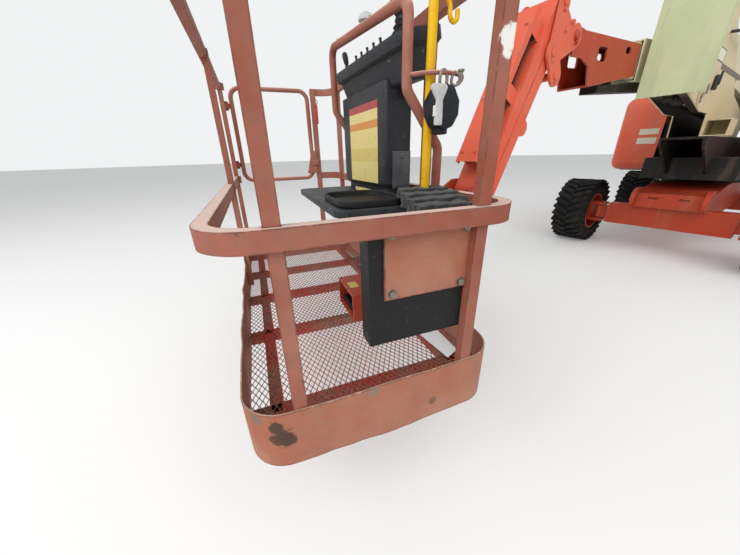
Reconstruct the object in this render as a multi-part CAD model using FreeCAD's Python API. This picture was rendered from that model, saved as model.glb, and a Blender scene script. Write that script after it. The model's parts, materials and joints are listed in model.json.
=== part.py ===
import FreeCAD, Part
import math
import os

# Articulating boom lift on four rough-terrain wheels, in millimetres.
# +X runs forward from the turntable to the platform, +Y to the machine's left, +Z up.
# The pieces are drawn about a point on the ground under the swing bearing's centre, and
# the finished machine is moved so that the origin lies under the middle of its whole box.

V = FreeCAD.Vector

# Wheels and axles
TYRE_DIA = 840.0
TYRE_WIDTH = 400.0
TYRE_SHOULDER = 45.0
RIM_DIA = 470.0
RIM_WALL = 14.0
WHEELBASE = 2314.0
HALF_TRACK = 915.0
AXLE_DEPTH = 170.0
AXLE_TOP = 560.0
AXLE_HEIGHT = 250.0
KINGPIN_Y = 680.0
KINGPIN_R = 50.0
SPINDLE_R = 60.0
HUB_R = 110.0
HUB_LENGTH = 110.0
PIN_GAP = 0.3
RUN_GAP = 5.0
STEER_ARM = 230.0
STEER_ARM_ROOT = 45.0
STEER_ARM_TIP = 22.0
TIE_ROD_R = 16.0

# Chassis
CHASSIS_HALF_LENGTH = 1330.0
CHASSIS_HALF_WIDTH = 330.0
CHASSIS_TOP = 800.0
CHASSIS_NOSE_TOP = 720.0
CHASSIS_BELLY = 440.0
LUG_Y = 305.0
LUG_THICK = 40.0
LUG_REACH = 95.0
LUG_HOLE_R = 27.0
BEARING_R = 450.0
BEARING_WALL = 90.0
BEARING_TOP = 869.7

# Turntable
DECK_BOTTOM = 870.0
DECK_THICK = 60.0
DECK_HALF_WIDTH = 400.0
DECK_FRONT = 1050.0
DECK_REAR = -1400.0
TRAY_TOP = 960.0
BOX_HALF_WIDTH = 170.0
BOX_WALL = 20.0
BOX_TOP = 1310.0
POCKET = (1400.0, 1700.0, 1310.0, 1450.0)
POCKET_OUT = 285.0
POCKET_WALL = 8.0
SHELF_Z = 1080.0
HOOD_IN = 470.0
HOOD_OUT = 960.0
HOOD_BOTTOM = 935.0
HOOD_TOP = 1860.0
HOOD_FRONT = 440.0
HOOD_REAR = -960.0
HOOD_WALL = 8.0
HOOD_ROUND = 110.0
HOOD_HINGE_DROP = 30.0
HOOD_HINGE_IN = 24.0
HOOD_HINGE_R = 12.0
HOOD_HINGE_X = (-760.0, 240.0)
CW_FRONT = -1000.0
CW_REAR = -1480.0
CW_TOP = 1330.0
CW_HALF_WIDTH = 850.0
CW_ROUND = 300.0
ENGINE_LENGTH = 900.0
ENGINE_HEIGHT = 560.0

# Tower boom and the housing that it pivots in
COVER_X = 2600.0
COVER_HALF_WIDTH = 200.0
COVER_BOTTOM = 1600.0
COVER_TOP = 2400.0
COVER_WALL = 6.0
COVER_RETURN = 60.0
CHEEK_OUT = 120.0
CHEEK_WALL = 15.0
BELLY_IN = 60.0
BELLY_WALL = 8.0
TOWER_HALF_WIDTH = 100.0
TOWER_HEIGHT = 300.0
TOWER_WALL = 10.0
TOWER_PIVOT = (2300.0, 2000.0)
TOWER_END = (-1450.0, 1800.0)
LINK_DROP = (-150.0, -330.0)
LINK_HEIGHT = 90.0
LINK_WALL = 25.0
LINK_Y = 70.0
TOWER_CYL_BASE = (2250.0, 1600.0)
TOWER_CYL_ALONG = 750.0
TOWER_CYL_BELOW = 228.0
TOWER_CYL_R = 50.0
TOWER_EAR_IN = 40.0
TOWER_EAR_OUT = 58.0
TOWER_ROD_R = 30.0
PIVOT_PIN_R = 28.0

# Main boom, fly boom and nose
BOOM_Y = -345.0
BOOM_PIVOT = (-1500.0, 2240.0)
BOOM_SLOPE = -5.0
BOOM_HALF_WIDTH = 100.0
BOOM_HEIGHT = 290.0
BOOM_WALL = 10.0
BOOM_LENGTH = 4100.0
FLY_GAP = 12.0
FLY_WALL = 10.0
FLY_INSIDE = 2900.0
NOSE_START = 4165.0
NOSE_LENGTH = 1080.0
NOSE_WALL = 12.0
NOSE_WINDOW = (4821.0, 11.0, 140.0, 85.0)
NOSE_OVAL = (4385.0, 52.0, 46.0, 23.0)
HOSE_TRAY_START = 2300.0
HOSE_TRAY_END = 4690.0
HOSE_TRAY_TOP = -160.0
HOSE_TRAY_DEPTH = 55.0
HOSE_TRAY_HALF_WIDTH = 60.0
HOSE_TRAY_WALL = 4.0
UPRIGHT_WALL = 15.0
MAIN_CYL_BASE = (-1500.0, 1600.0)
MAIN_CYL_ALONG = 550.0
MAIN_CYL_BELOW = 201.0
MAIN_CYL_R = 50.0
MAIN_EAR_IN = 60.0
MAIN_EAR_OUT = 80.0
MAIN_ROD_R = 30.0
ROD_EYE_WALL = 12.0

# Jib
HEAD_PIVOT = (3765.0, 1860.0)
ARM_LOW = (3990.0, 1745.0)
ARM_HIGH = (3959.0, 1985.0)
HEAD_FOOT = (3920.0, 1640.0)
HEAD_WALL = 15.0
JIB_LENGTH = 1100.0
JIB_ANGLE = -63.0
ARM_DEPTH = 76.0
ARM_HALF_WIDTH = 95.0
JIB_CYL_ALONG = 420.0
JIB_CYL_OFF = 40.0
JIB_BAR_WALL = 28.0
JIB_CYL_R = 32.0
JIB_ROD_R = 18.0
GUARD_START = -115.0
GUARD_END = 760.0
GUARD_OFF = 230.0
GUARD_DEPTH = 35.0
GUARD_HALF_WIDTH = 72.0
GUARD_WALL = 4.0
GUARD_BRACKETS = (-30.0, 330.0, 690.0)
ROTATOR_X = 4810.0
ROTATOR_R = 85.0
ROTATOR_BOTTOM = 640.0
ROTATOR_TOP = 960.0

# Platform, in its own frame: a runs inwards to the machine, b from the left end to the
# right end, c up from the floor
PLAT_A = 760.0
PLAT_B = 1830.0
PLAT_FLOOR_Z = 556.0
PLAT_STANDOFF = 300.0
PLAT_YAW = -13.1
CORNER_R = 110.0
FLOOR_THICK = 12.0
FLOOR_TUBE = 40.0
KICK_TOP = 99.0
KICK_BOTTOM = -81.0
KICK_WALL = 4.0
MID_TOP = 548.0
MID_HEIGHT = 45.0
RAIL_DEPTH = 32.0
RAIL_LAP = 24.0
TOP_TOP = 1098.0
TOP_HEIGHT = 38.0
POST_WIDTH = 34.0
POST_DEPTH = 26.0
POST_FLARE = 26.0
POST_FLARE_UP = 90.0
GATE_A1 = 581.0
GATE_BOTTOM = 500.0
GATE_R = 14.0
GATE_HINGE_A = 40.0
GATE_HINGE_R = 8.0
GATE_HINGE_C = (620.0, 980.0)
GATE_POST_B = 73.0
CONSOLE_NEAR = (585.0, 494.0)
CONSOLE_FAR = (560.0, 926.0)
CONSOLE_A1 = 700.0
CONSOLE_TOP = 900.0
CONSOLE_TRAY_B = (270.0, 970.0)
CONSOLE_TRAY_A = 330.0
CONSOLE_TRAY_THICK = 25.0
HEAD_BOX_NEAR = (577.0, 360.0)
HEAD_BOX_DEPTH = 145.0
HEAD_BOX_LENGTH = 555.0
HEAD_BOX_YAW = 4.84
HEAD_BOX_FRONT = (862.0, 989.0)
HEAD_BOX_BACK = (903.0, 1018.0)
HEAD_BOX_LID = 36.0
HEAD_BOX_LIP = 7.0
HOOP_R = 15.0
HOOP_NEAR = (583.0, 332.0, 1045.0)
HOOP_FAR = (535.0, 948.0, 1095.0)
HOOP_FOOT_IN = 118.0
REEL_B = 300.0
YELLOW_R = 13.0
STORAGE_DEPTH = 58.0

AXLE_X = WHEELBASE / 2
AXLE_Z = TYRE_DIA / 2


def box(x0, x1, y0, y1, z0, z1):
    """Block between two opposite corners."""
    return Part.makeBox(x1 - x0, y1 - y0, z1 - z0, V(x0, y0, z0))


def fuse(shapes):
    """Join shapes that share faces or volume."""
    first = shapes[0]
    joined = first.fuse(shapes[1:]) if len(shapes) > 1 else first
    return joined.removeSplitter()


def plate_xz(points, y0, y1):
    """Flat plate from an outline of (x, z) points, standing between two y values."""
    loop = [V(x, y0, z) for x, z in points]
    face = Part.Face(Part.makePolygon(loop + loop[:1]))
    return face.extrude(V(0, y1 - y0, 0))


def plate_xy(points, z0, z1):
    """Flat plate from an outline of (x, y) points, lying between two z values."""
    loop = [V(x, y, z0) for x, y in points]
    face = Part.Face(Part.makePolygon(loop + loop[:1]))
    return face.extrude(V(0, 0, z1 - z0))


def rod(p, q, r):
    """Round bar from p to q."""
    p, q = V(*p), V(*q)
    return Part.makeCylinder(r, (q - p).Length, p, q - p)


def cross_pin(point, r, y0, y1):
    """Round bar across the machine at an (x, z) point."""
    return rod((point[0], y0, point[1]), (point[0], y1, point[1]), r)


def beam_outline(p, q, half, grow=0.0):
    """Four corners of a bar in an (x, z) plane, longer by grow at both ends."""
    length = math.hypot(q[0] - p[0], q[1] - p[1])
    ux, uz = (q[0] - p[0]) / length, (q[1] - p[1]) / length
    ax, az = p[0] - ux * grow, p[1] - uz * grow
    bx, bz = q[0] + ux * grow, q[1] + uz * grow
    return [(ax - uz * half, az + ux * half), (bx - uz * half, bz + ux * half),
            (bx + uz * half, bz - ux * half), (ax + uz * half, az - ux * half)]


def beam(p, q, half, y0, y1, grow=0.0):
    """Straight bar between two (x, z) points."""
    return plate_xz(beam_outline(p, q, half, grow), y0, y1)


def along(point, angle, distance, off=0.0):
    """The (x, z) point a distance along a direction and off to its upper side."""
    c, s = math.cos(math.radians(angle)), math.sin(math.radians(angle))
    return (point[0] + c * distance - s * off, point[1] + s * distance + c * off)


def strap(points, r, y0, y1):
    """Plate that wraps round pins: discs at the points, joined by their common tangents."""
    parts = [rod((x, y0, z), (x, y1, z), r) for x, z in points]
    for p, q in zip(points, points[1:]):
        parts.append(beam(p, q, r, y0, y1))
    return fuse(parts)


def rounded_ring(a0, a1, b0, b1, r, wall, c0, c1):
    """Closed band with round corners, its outer face on the given rectangle."""
    def slab(grow, radius):
        block = box(a0 - grow, a1 + grow, b0 - grow, b1 + grow, c0, c1)
        upright = [e for e in block.Edges if abs(e.Vertexes[0].Z - e.Vertexes[1].Z) > 1]
        return block.makeFillet(radius, upright)
    return slab(0, r).cut(slab(-wall, r - wall))


def bent_tube(points, r, bend):
    """Round tube through points, each corner bent to the same radius."""
    pts = [V(*p) for p in points]
    edges = []
    start = pts[0]
    for before, corner, after in zip(pts, pts[1:], pts[2:]):
        u = (before - corner).normalize()
        w = (after - corner).normalize()
        half = u.getAngle(w) / 2
        cut = bend / math.tan(half)
        middle = corner + (u + w).normalize() * (bend / math.sin(half) - bend)
        p, q = corner + u * cut, corner + w * cut
        edges.append(Part.makeLine(start, p))
        edges.append(Part.Arc(p, middle, q).toShape())
        start = q
    edges.append(Part.makeLine(start, pts[-1]))
    path = Part.Wire(edges)
    direction = (pts[1] - pts[0]).normalize()
    profile = Part.Wire([Part.makeCircle(r, pts[0], direction)])
    return path.makePipeShell([profile], True, False)


def revolve_y(profile, x, y, z):
    """Turn a (radius, y) outline about the line along y through (x, z)."""
    loop = [V(x + radius, y + offset, z) for radius, offset in profile]
    face = Part.Face(Part.makePolygon(loop + loop[:1]))
    return face.revolve(V(x, 0, z), V(0, 1, 0), 360)


# Wheels, axles and chassis

def tyre(x, side):
    """Tyre out to the lugs' tips, with bevelled shoulders."""
    half, outer, inner = TYRE_WIDTH / 2, TYRE_DIA / 2, RIM_DIA / 2
    profile = [(inner, -half + 25), (outer - 90, -half), (outer - TYRE_SHOULDER, -half + 8),
               (outer, -half + TYRE_SHOULDER), (outer, half - TYRE_SHOULDER),
               (outer - TYRE_SHOULDER, half - 8), (outer - 90, half), (inner, half - 25)]
    return revolve_y(profile, x, side * HALF_TRACK, AXLE_Z)


def rim(x, side):
    """Dished wheel disc with its hub, bored for the spindle."""
    half, outer = TYRE_WIDTH / 2 - 25, RIM_DIA / 2
    disc_out = side * 40.0
    barrel = revolve_y([(outer, -half), (outer, half), (outer - RIM_WALL, half),
                        (outer - RIM_WALL, -half)], x, side * HALF_TRACK, AXLE_Z)
    edge = sorted((disc_out, disc_out - side * RIM_WALL))
    disc = revolve_y([(SPINDLE_R + PIN_GAP, edge[0]), (outer - RIM_WALL, edge[0]),
                      (outer - RIM_WALL, edge[1]), (SPINDLE_R + PIN_GAP, edge[1])],
                     x, side * HALF_TRACK, AXLE_Z)
    hub_in = sorted((disc_out, disc_out - side * HUB_LENGTH))
    hub = revolve_y([(SPINDLE_R + PIN_GAP, hub_in[0]), (HUB_R, hub_in[0]),
                     (HUB_R, hub_in[1]), (SPINDLE_R + PIN_GAP, hub_in[1])],
                    x, side * HALF_TRACK, AXLE_Z)
    return fuse([barrel, disc, hub])


def knuckle(side):
    """Fork round the kingpin, spindle and steering arm."""
    kp = KINGPIN_Y
    low, high = AXLE_TOP - AXLE_HEIGHT - 5, AXLE_TOP - 5
    pieces = [box(AXLE_X - 70, AXLE_X + 70, kp - 65, kp + 100, low, low + 35),
              box(AXLE_X - 70, AXLE_X + 70, kp - 65, kp + 100, high - 35, high),
              box(AXLE_X - 70, AXLE_X + 70, kp + 70, kp + 100, low, high),
              rod((AXLE_X, kp + 100, AXLE_Z), (AXLE_X, HALF_TRACK + 30, AXLE_Z), SPINDLE_R),
              rod((AXLE_X, kp, low), (AXLE_X, kp, high), KINGPIN_R / 2),
              plate_xy([(AXLE_X - 50, kp - STEER_ARM_ROOT), (AXLE_X - STEER_ARM - 30, kp - STEER_ARM_TIP),
                        (AXLE_X - STEER_ARM - 30, kp + STEER_ARM_TIP), (AXLE_X - 50, kp + STEER_ARM_TIP)],
                       low, low + 25),
              rod((AXLE_X - STEER_ARM, kp, low), (AXLE_X - STEER_ARM, kp, low + 70), TIE_ROD_R / 2)]
    shape = fuse(pieces)
    return shape if side > 0 else shape.mirror(V(0, 0, 0), V(0, 1, 0))


def front_axle():
    """Box beam with an eye for the kingpin at each end."""
    low, top = AXLE_TOP - AXLE_HEIGHT, AXLE_TOP
    half = AXLE_DEPTH / 2
    end = KINGPIN_Y - 112
    pieces = [box(AXLE_X - half, AXLE_X + half, -end, end, low, top)]
    for side in (-1, 1):
        y0, y1 = sorted((side * (end - 5), side * KINGPIN_Y))
        pieces.append(box(AXLE_X - 45, AXLE_X + 45, y0, y1, low + 45, top - 50))
        pieces.append(rod((AXLE_X, side * KINGPIN_Y, low + 45), (AXLE_X, side * KINGPIN_Y, top - 50), KINGPIN_R))
    beam_shape = fuse(pieces)
    for side in (-1, 1):
        beam_shape = beam_shape.cut(rod((AXLE_X, side * KINGPIN_Y, low), (AXLE_X, side * KINGPIN_Y, top),
                                        KINGPIN_R / 2 + PIN_GAP))
    return beam_shape


def rear_axle():
    """Straight beam with a drive hub and spindle at each end."""
    low, top = AXLE_TOP - AXLE_HEIGHT, AXLE_TOP
    half = AXLE_DEPTH / 2
    pieces = [box(-AXLE_X - half, -AXLE_X + half, -700, 700, low, top)]
    for side in (-1, 1):
        pieces.append(rod((-AXLE_X, side * 690, AXLE_Z), (-AXLE_X, side * 800, AXLE_Z), HUB_R))
        pieces.append(rod((-AXLE_X, side * 780, AXLE_Z), (-AXLE_X, side * (HALF_TRACK + 30), AXLE_Z), SPINDLE_R))
    return fuse(pieces)


def tie_rod():
    """Bar behind the front beam with an eye over each steering arm's pin."""
    z = AXLE_TOP - AXLE_HEIGHT - 5 + 25 + PIN_GAP + 20
    x = AXLE_X - STEER_ARM
    y = KINGPIN_Y
    shape = fuse([rod((x, -y, z), (x, y, z), TIE_ROD_R)]
                 + [rod((x, s * y, z - 20), (x, s * y, z + 20), STEER_ARM_TIP) for s in (-1, 1)])
    for s in (-1, 1):
        shape = shape.cut(rod((x, s * y, z - 30), (x, s * y, z + 60), TIE_ROD_R / 2 + PIN_GAP))
    return shape


def tie_down_lug(x_sign, side):
    """Thick hook plate with a shackle hole, curved over the chassis end."""
    y0 = side * LUG_Y - LUG_THICK / 2
    x = CHASSIS_HALF_LENGTH
    outline = [(x - 120, AXLE_TOP), (x + 30, AXLE_TOP), (x + 75, AXLE_TOP + 30),
               (x + LUG_REACH, AXLE_TOP + 90), (x + LUG_REACH - 10, AXLE_TOP + 150),
               (x + 50, AXLE_TOP + 195), (x - 20, AXLE_TOP + 215), (x - 120, AXLE_TOP + 215)]
    lug = plate_xz([(x_sign * px, pz) for px, pz in outline], y0, y0 + LUG_THICK)
    hole = cross_pin((x_sign * (x + 45), AXLE_TOP + 95), LUG_HOLE_R, y0 - 5, y0 + LUG_THICK + 5)
    return lug.cut(hole)


def chassis_frame():
    """Box frame over both axles with a tie-down lug at each corner and a nose plate's slots."""
    x, belly = CHASSIS_HALF_LENGTH, AXLE_X - 180
    outline = [(-x, AXLE_TOP), (-belly - 80, AXLE_TOP), (-belly, CHASSIS_BELLY), (belly, CHASSIS_BELLY),
               (belly + 80, AXLE_TOP), (x, AXLE_TOP), (x, CHASSIS_NOSE_TOP), (620, CHASSIS_TOP),
               (-620, CHASSIS_TOP), (-x, CHASSIS_NOSE_TOP)]
    body = plate_xz(outline, -CHASSIS_HALF_WIDTH, CHASSIS_HALF_WIDTH)
    for side in (-1, 1):
        for end in (-1, 1):
            body = body.fuse(tie_down_lug(end, side))
            slot_x = sorted((end * (x - 25), end * (x + 5)))
            slot_y = side * 130
            body = body.cut(box(slot_x[0], slot_x[1], slot_y - 45, slot_y + 45, 655, 680))
    return body.removeSplitter()


def swing_bearing():
    """Fixed race of the swing bearing, on the chassis."""
    outer = rod((0, 0, CHASSIS_TOP), (0, 0, BEARING_TOP), BEARING_R)
    return outer.cut(rod((0, 0, CHASSIS_TOP - 5), (0, 0, BEARING_TOP + 5), BEARING_R - BEARING_WALL))


# Turntable

def turntable_frame():
    """Deck with a raised tray each side, a box that carries the tower housing, and a front shelf."""
    top = DECK_BOTTOM + DECK_THICK
    w = DECK_HALF_WIDTH
    h = BOX_HALF_WIDTH
    inset = HOOD_ROUND + 10
    pieces = [box(DECK_REAR, DECK_FRONT, -w, w, DECK_BOTTOM, top)]
    for side in (-1, 1):
        y0, y1 = sorted((side * (w - 20), side * (HOOD_OUT - inset)))
        pieces.append(box(HOOD_REAR + inset, HOOD_FRONT - inset, y0, y1, top - 5, TRAY_TOP))
    side_outline = [(-950, top), (DECK_FRONT, top), (1700, BOX_TOP - 60), (1700, BOX_TOP), (-950, BOX_TOP)]
    for side in (-1, 1):
        y0, y1 = sorted((side * h, side * (h - BOX_WALL)))
        pieces.append(plate_xz(side_outline, y0, y1))
    pieces.append(box(-950, 1700, -h, h, BOX_TOP - BOX_WALL, BOX_TOP))
    pieces.append(box(-950, -950 + BOX_WALL, -h, h, top, BOX_TOP))
    pieces.append(box(DECK_FRONT - 40, DECK_FRONT - 10, -400, 400, top, SHELF_Z))
    pieces.append(box(DECK_FRONT - 190, DECK_FRONT - 10, -400, 600, SHELF_Z, SHELF_Z + 25))
    pin_y, pin_z = HOOD_IN - HOOD_HINGE_IN, HOOD_TOP - HOOD_HINGE_DROP
    for side in (-1, 1):
        y0, y1 = sorted((side * (pin_y - 16), side * (pin_y + 16)))
        for x in HOOD_HINGE_X:
            for post_x in (x - 40, x + 25):
                pieces.append(box(post_x, post_x + 15, y0, y1, top, pin_z + 16))
            pieces.append(rod((x - 30, side * pin_y, pin_z), (x + 30, side * pin_y, pin_z), HOOD_HINGE_R))
            pieces.append(box(x - 40, x + 40, y0, y1, top, pin_z - 60))
    return fuse(pieces)


def counterweight():
    """Cast block behind the deck with round rear corners."""
    block = box(CW_REAR, CW_FRONT, -CW_HALF_WIDTH, CW_HALF_WIDTH, DECK_BOTTOM + DECK_THICK, CW_TOP)
    corners = [e for e in block.Edges if abs(e.Vertexes[0].Z - e.Vertexes[1].Z) > 1
               and abs(e.Vertexes[0].X - CW_REAR) < 1]
    return block.makeFillet(CW_ROUND, corners)


def hood(side):
    """Moulded side cover, open inwards, with round outer edges that tuck in under the tray."""
    y_in, y_out = HOOD_IN, HOOD_OUT
    front, rear = HOOD_FRONT, HOOD_REAR
    def shell(inset):
        block = box(rear + inset, front - inset, y_in - 6 * inset, y_out - inset,
                    HOOD_BOTTOM + inset, HOOD_TOP - inset)
        outer = [e for e in block.Edges if max(v.Y for v in e.Vertexes) > y_out - inset - 1]
        return block.makeFillet(HOOD_ROUND - inset, outer)
    shape = shell(0).cut(shell(HOOD_WALL))
    shape = shape.cut(box(rear + HOOD_ROUND, front - HOOD_ROUND, y_in - 60, y_out - HOOD_ROUND,
                          HOOD_BOTTOM - 5, HOOD_BOTTOM + HOOD_WALL + 5))
    pin_y, pin_z = HOOD_IN - HOOD_HINGE_IN, HOOD_TOP - HOOD_HINGE_DROP
    for x in HOOD_HINGE_X:
        x0, x1 = x - 24.7, x + 24.7
        lug = box(x0, x1, pin_y, y_in + 60, pin_z - 14, HOOD_TOP - HOOD_WALL + 2)
        lug = lug.fuse(rod((x0, pin_y, pin_z), (x1, pin_y, pin_z), HOOD_HINGE_DROP - HOOD_WALL + 2))
        lug = lug.cut(rod((x0 - 5, pin_y, pin_z), (x1 + 5, pin_y, pin_z), HOOD_HINGE_R + PIN_GAP))
        shape = shape.fuse(lug)
    return shape if side > 0 else shape.mirror(V(0, 0, 0), V(0, 1, 0))


def engine_block():
    """Engine as one plain block on the right-hand tray."""
    x0 = (HOOD_FRONT + HOOD_REAR - ENGINE_LENGTH) / 2
    y_out = HOOD_OUT - HOOD_ROUND - 10
    return box(x0, x0 + ENGINE_LENGTH, -y_out, -HOOD_IN - 30, TRAY_TOP, TRAY_TOP + ENGINE_HEIGHT)


def hydraulic_tank():
    """Oil and fuel tank as one plain block on the left-hand tray."""
    x0 = (HOOD_FRONT + HOOD_REAR - ENGINE_LENGTH) / 2
    y_out = HOOD_OUT - HOOD_ROUND - 10
    return box(x0, x0 + ENGINE_LENGTH, HOOD_IN + 30, y_out, TRAY_TOP, TRAY_TOP + ENGINE_HEIGHT * 0.8)


def tower_housing():
    """Two cheek plates with stepped lower edges, tied at the front and over the box."""
    front, top = COVER_X - COVER_WALL - 6, COVER_TOP - COVER_WALL - PIN_GAP
    lower = [(front, COVER_BOTTOM), (2050, 1500), (1750, 1500)]
    outline = lower + [(1700, BOX_TOP), (-300, BOX_TOP), (-300, 1520), (900, 1700), (1900, 2150),
                       (2150, top), (front, top)]
    inner = CHEEK_OUT - CHEEK_WALL + 1
    belly = lower + [(x, z + BELLY_WALL) for x, z in reversed(lower)]
    x0, x1, z0, z1 = POCKET
    w = POCKET_WALL
    pocket = box(x0, x1, CHEEK_OUT - 2, POCKET_OUT, z0, z1)
    pieces = [plate_xz(belly, BELLY_IN, inner),
              pocket.cut(box(x0 + w, x1 + 5, CHEEK_OUT + w, POCKET_OUT - w, z0 + w, z1 - w))]
    for side in (-1, 1):
        y0, y1 = sorted((side * CHEEK_OUT, side * (CHEEK_OUT - CHEEK_WALL)))
        pieces.append(plate_xz(outline, y0, y1))
    pieces.append(box(front - 15, front, -inner, inner, COVER_BOTTOM, top))
    pieces.append(box(-300, -280, -inner, inner, BOX_TOP, 1470))
    for point in (TOWER_PIVOT, link_front(), TOWER_CYL_BASE):
        for side in (-1, 1):
            y0, y1 = sorted((side * CHEEK_OUT, side * (CHEEK_OUT + 12)))
            pieces.append(cross_pin(point, PIVOT_PIN_R * 2, y0, y1))
            y0, y1 = sorted((side * (LINK_Y - 3), side * inner))
            pieces.append(cross_pin(point, PIVOT_PIN_R, y0, y1))
        if point != link_front():
            pieces.append(cross_pin(point, PIVOT_PIN_R, -inner, inner))
    return fuse(pieces)


def tower_cover():
    """Folded cover plate over the front of the housing."""
    x1 = COVER_X
    x0 = COVER_X - COVER_RETURN
    w, t = COVER_HALF_WIDTH, COVER_WALL
    plate = box(x1 - t, x1, -w, w, COVER_BOTTOM, COVER_TOP)
    sides = [box(x0, x1, -w, -w + t, COVER_BOTTOM, COVER_TOP),
             box(x0, x1, w - t, w, COVER_BOTTOM, COVER_TOP)]
    top = box(x0, x1, -w, w, COVER_TOP - t, COVER_TOP)
    pads = [box(x1 - t - 6, x1 - t + 1, -CHEEK_OUT, CHEEK_OUT, z, z + 80)
            for z in (COVER_BOTTOM + 60, COVER_TOP - 200)]
    return fuse([plate] + sides + [top] + pads)


# Tower boom group

def link_front():
    """Front pin of the link, on the housing."""
    return (TOWER_PIVOT[0] + LINK_DROP[0], TOWER_PIVOT[1] + LINK_DROP[1])


def link_rear():
    """Rear pin of the link, on the upright."""
    return (TOWER_END[0] + LINK_DROP[0], TOWER_END[1] + LINK_DROP[1])


def tower_cyl_eye():
    """Pin of the tower cylinder under the tower boom."""
    ux, uz = TOWER_END[0] - TOWER_PIVOT[0], TOWER_END[1] - TOWER_PIVOT[1]
    angle = math.degrees(math.atan2(uz, ux))
    return along(TOWER_PIVOT, angle, TOWER_CYL_ALONG, TOWER_CYL_BELOW)


def tube_beam(p, q, half, half_width, wall, grow, y=0.0):
    """Rectangular tube between two (x, z) points, open at both ends."""
    outer = beam(p, q, half, y - half_width, y + half_width, grow)
    inner = beam(p, q, half - wall, y - half_width + wall, y + half_width - wall, grow + 5)
    return outer.cut(inner)


def tower_boom():
    """Box-section boom from the housing back to the upright."""
    h = TOWER_HALF_WIDTH
    shape = tube_beam(TOWER_PIVOT, TOWER_END, TOWER_HEIGHT / 2, h, TOWER_WALL, 60)
    eye = tower_cyl_eye()
    reach = TOWER_CYL_BELOW - TOWER_HEIGHT / 2 + TOWER_WALL - 3
    for side in (-1, 1):
        y0, y1 = sorted((side * TOWER_EAR_IN, side * TOWER_EAR_OUT))
        shape = shape.fuse(beam(eye, (eye[0], eye[1] + reach), 60, y0, y1))
        shape = shape.fuse(cross_pin(eye, 60, y0, y1))
    bosses = [cross_pin(TOWER_PIVOT, PIVOT_PIN_R * 2, -h, h), cross_pin(TOWER_END, PIVOT_PIN_R * 2, -h, h)]
    shape = shape.fuse(bosses)
    shape = shape.cut(cross_pin(TOWER_PIVOT, PIVOT_PIN_R + PIN_GAP, -h - 5, h + 5))
    shape = shape.cut(cross_pin(TOWER_END, PIVOT_PIN_R + PIN_GAP, -h - 5, h + 5))
    return shape.removeSplitter()


def tower_link():
    """Two flat bars under the tower boom, tied at their ends."""
    front, rear = link_front(), link_rear()
    half = LINK_HEIGHT / 2
    pieces = []
    for side in (-1, 1):
        y0, y1 = sorted((side * LINK_Y, side * (LINK_Y + LINK_WALL)))
        pieces.append(strap([front, rear], half, y0, y1))
    pieces.append(cross_pin(rear, half, -LINK_Y - 1, LINK_Y + 1))
    shape = fuse(pieces)
    for point in (front, rear):
        shape = shape.cut(cross_pin(point, PIVOT_PIN_R + PIN_GAP, -120, 120))
    return shape


def cylinder_barrel(base, eye, r, rod_r, y, length_share=0.86):
    """Hydraulic barrel with an eye on its base pin, bored for the rod."""
    length = math.hypot(eye[0] - base[0], eye[1] - base[1])
    ux, uz = (eye[0] - base[0]) / length, (eye[1] - base[1]) / length
    at = lambda s: (base[0] + ux * s, y, base[1] + uz * s)
    stop = length * length_share
    shape = rod(at(r * 0.5), at(stop), r).fuse(cross_pin(base, r, y - r * 0.7, y + r * 0.7))
    shape = shape.cut(rod(at(r + 40), at(stop + 5), rod_r + PIN_GAP))
    return shape.cut(cross_pin(base, PIVOT_PIN_R + PIN_GAP, y - r - 5, y + r + 5)).removeSplitter()


def cylinder_rod(base, eye, r, rod_r, y, pin_half):
    """Hydraulic rod with its eye and the far pin, which ends inside the ears."""
    length = math.hypot(eye[0] - base[0], eye[1] - base[1])
    ux, uz = (eye[0] - base[0]) / length, (eye[1] - base[1]) / length
    at = lambda s: (base[0] + ux * s, y, base[1] + uz * s)
    shape = rod(at(r + 60), at(length - PIVOT_PIN_R), rod_r)
    shape = shape.fuse(cross_pin(eye, PIVOT_PIN_R + ROD_EYE_WALL, y - r * 0.7, y + r * 0.7))
    return shape.fuse(cross_pin(eye, PIVOT_PIN_R, y - pin_half, y + pin_half)).removeSplitter()


def upright():
    """Plates behind the turntable that carry the tower boom, its link and the main boom."""
    boom_in = BOOM_Y + BOOM_HALF_WIDTH + RUN_GAP
    boom_out = BOOM_Y - BOOM_HALF_WIDTH - RUN_GAP
    tower = TOWER_HALF_WIDTH + RUN_GAP
    t = UPRIGHT_WALL
    low, high = link_rear(), BOOM_PIVOT
    wide = [(-1760, 1400), (-1540, 1390), (-1380, 1480), (-1330, 1760), (-1380, 2330), (-1560, 2360),
            (-1700, 2250), (-1760, 1800)]
    tall = [(-1760, 1480), (-1380, 1480), (-1380, 2330), (-1560, 2360), (-1700, 2250), (-1760, 1800)]
    narrow = [(-1760, 1400), (-1540, 1390), (-1380, 1480), (-1330, 1760), (-1380, 1920), (-1620, 1960),
              (-1760, 1900)]
    pieces = [plate_xz(narrow, tower, tower + t), plate_xz(wide, -tower - t, -tower),
              plate_xz(tall, boom_in, boom_in + t), plate_xz(tall, boom_out - t, boom_out),
              box(-1760, -1745, boom_out - t, tower + t, 1500, 1780),
              box(-1760, -1745, boom_out - t, -tower, 1700, 1880),
              cross_pin(TOWER_END, PIVOT_PIN_R, -tower - 1, tower + 1),
              cross_pin(low, PIVOT_PIN_R, -tower - 1, tower + 1),
              cross_pin(high, PIVOT_PIN_R, boom_out - 1, boom_in + 1),
              cross_pin(MAIN_CYL_BASE, PIVOT_PIN_R, boom_out - 1, boom_in + 1)]
    return fuse(pieces)


# Main boom group

def boom_point(distance, off=0.0):
    """Point along the main boom's axis from its pivot, and above it."""
    return along(BOOM_PIVOT, BOOM_SLOPE, distance, off)


def main_cyl_eye():
    """Pin of the main lift cylinder under the boom."""
    return boom_point(MAIN_CYL_ALONG, -MAIN_CYL_BELOW)


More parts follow.
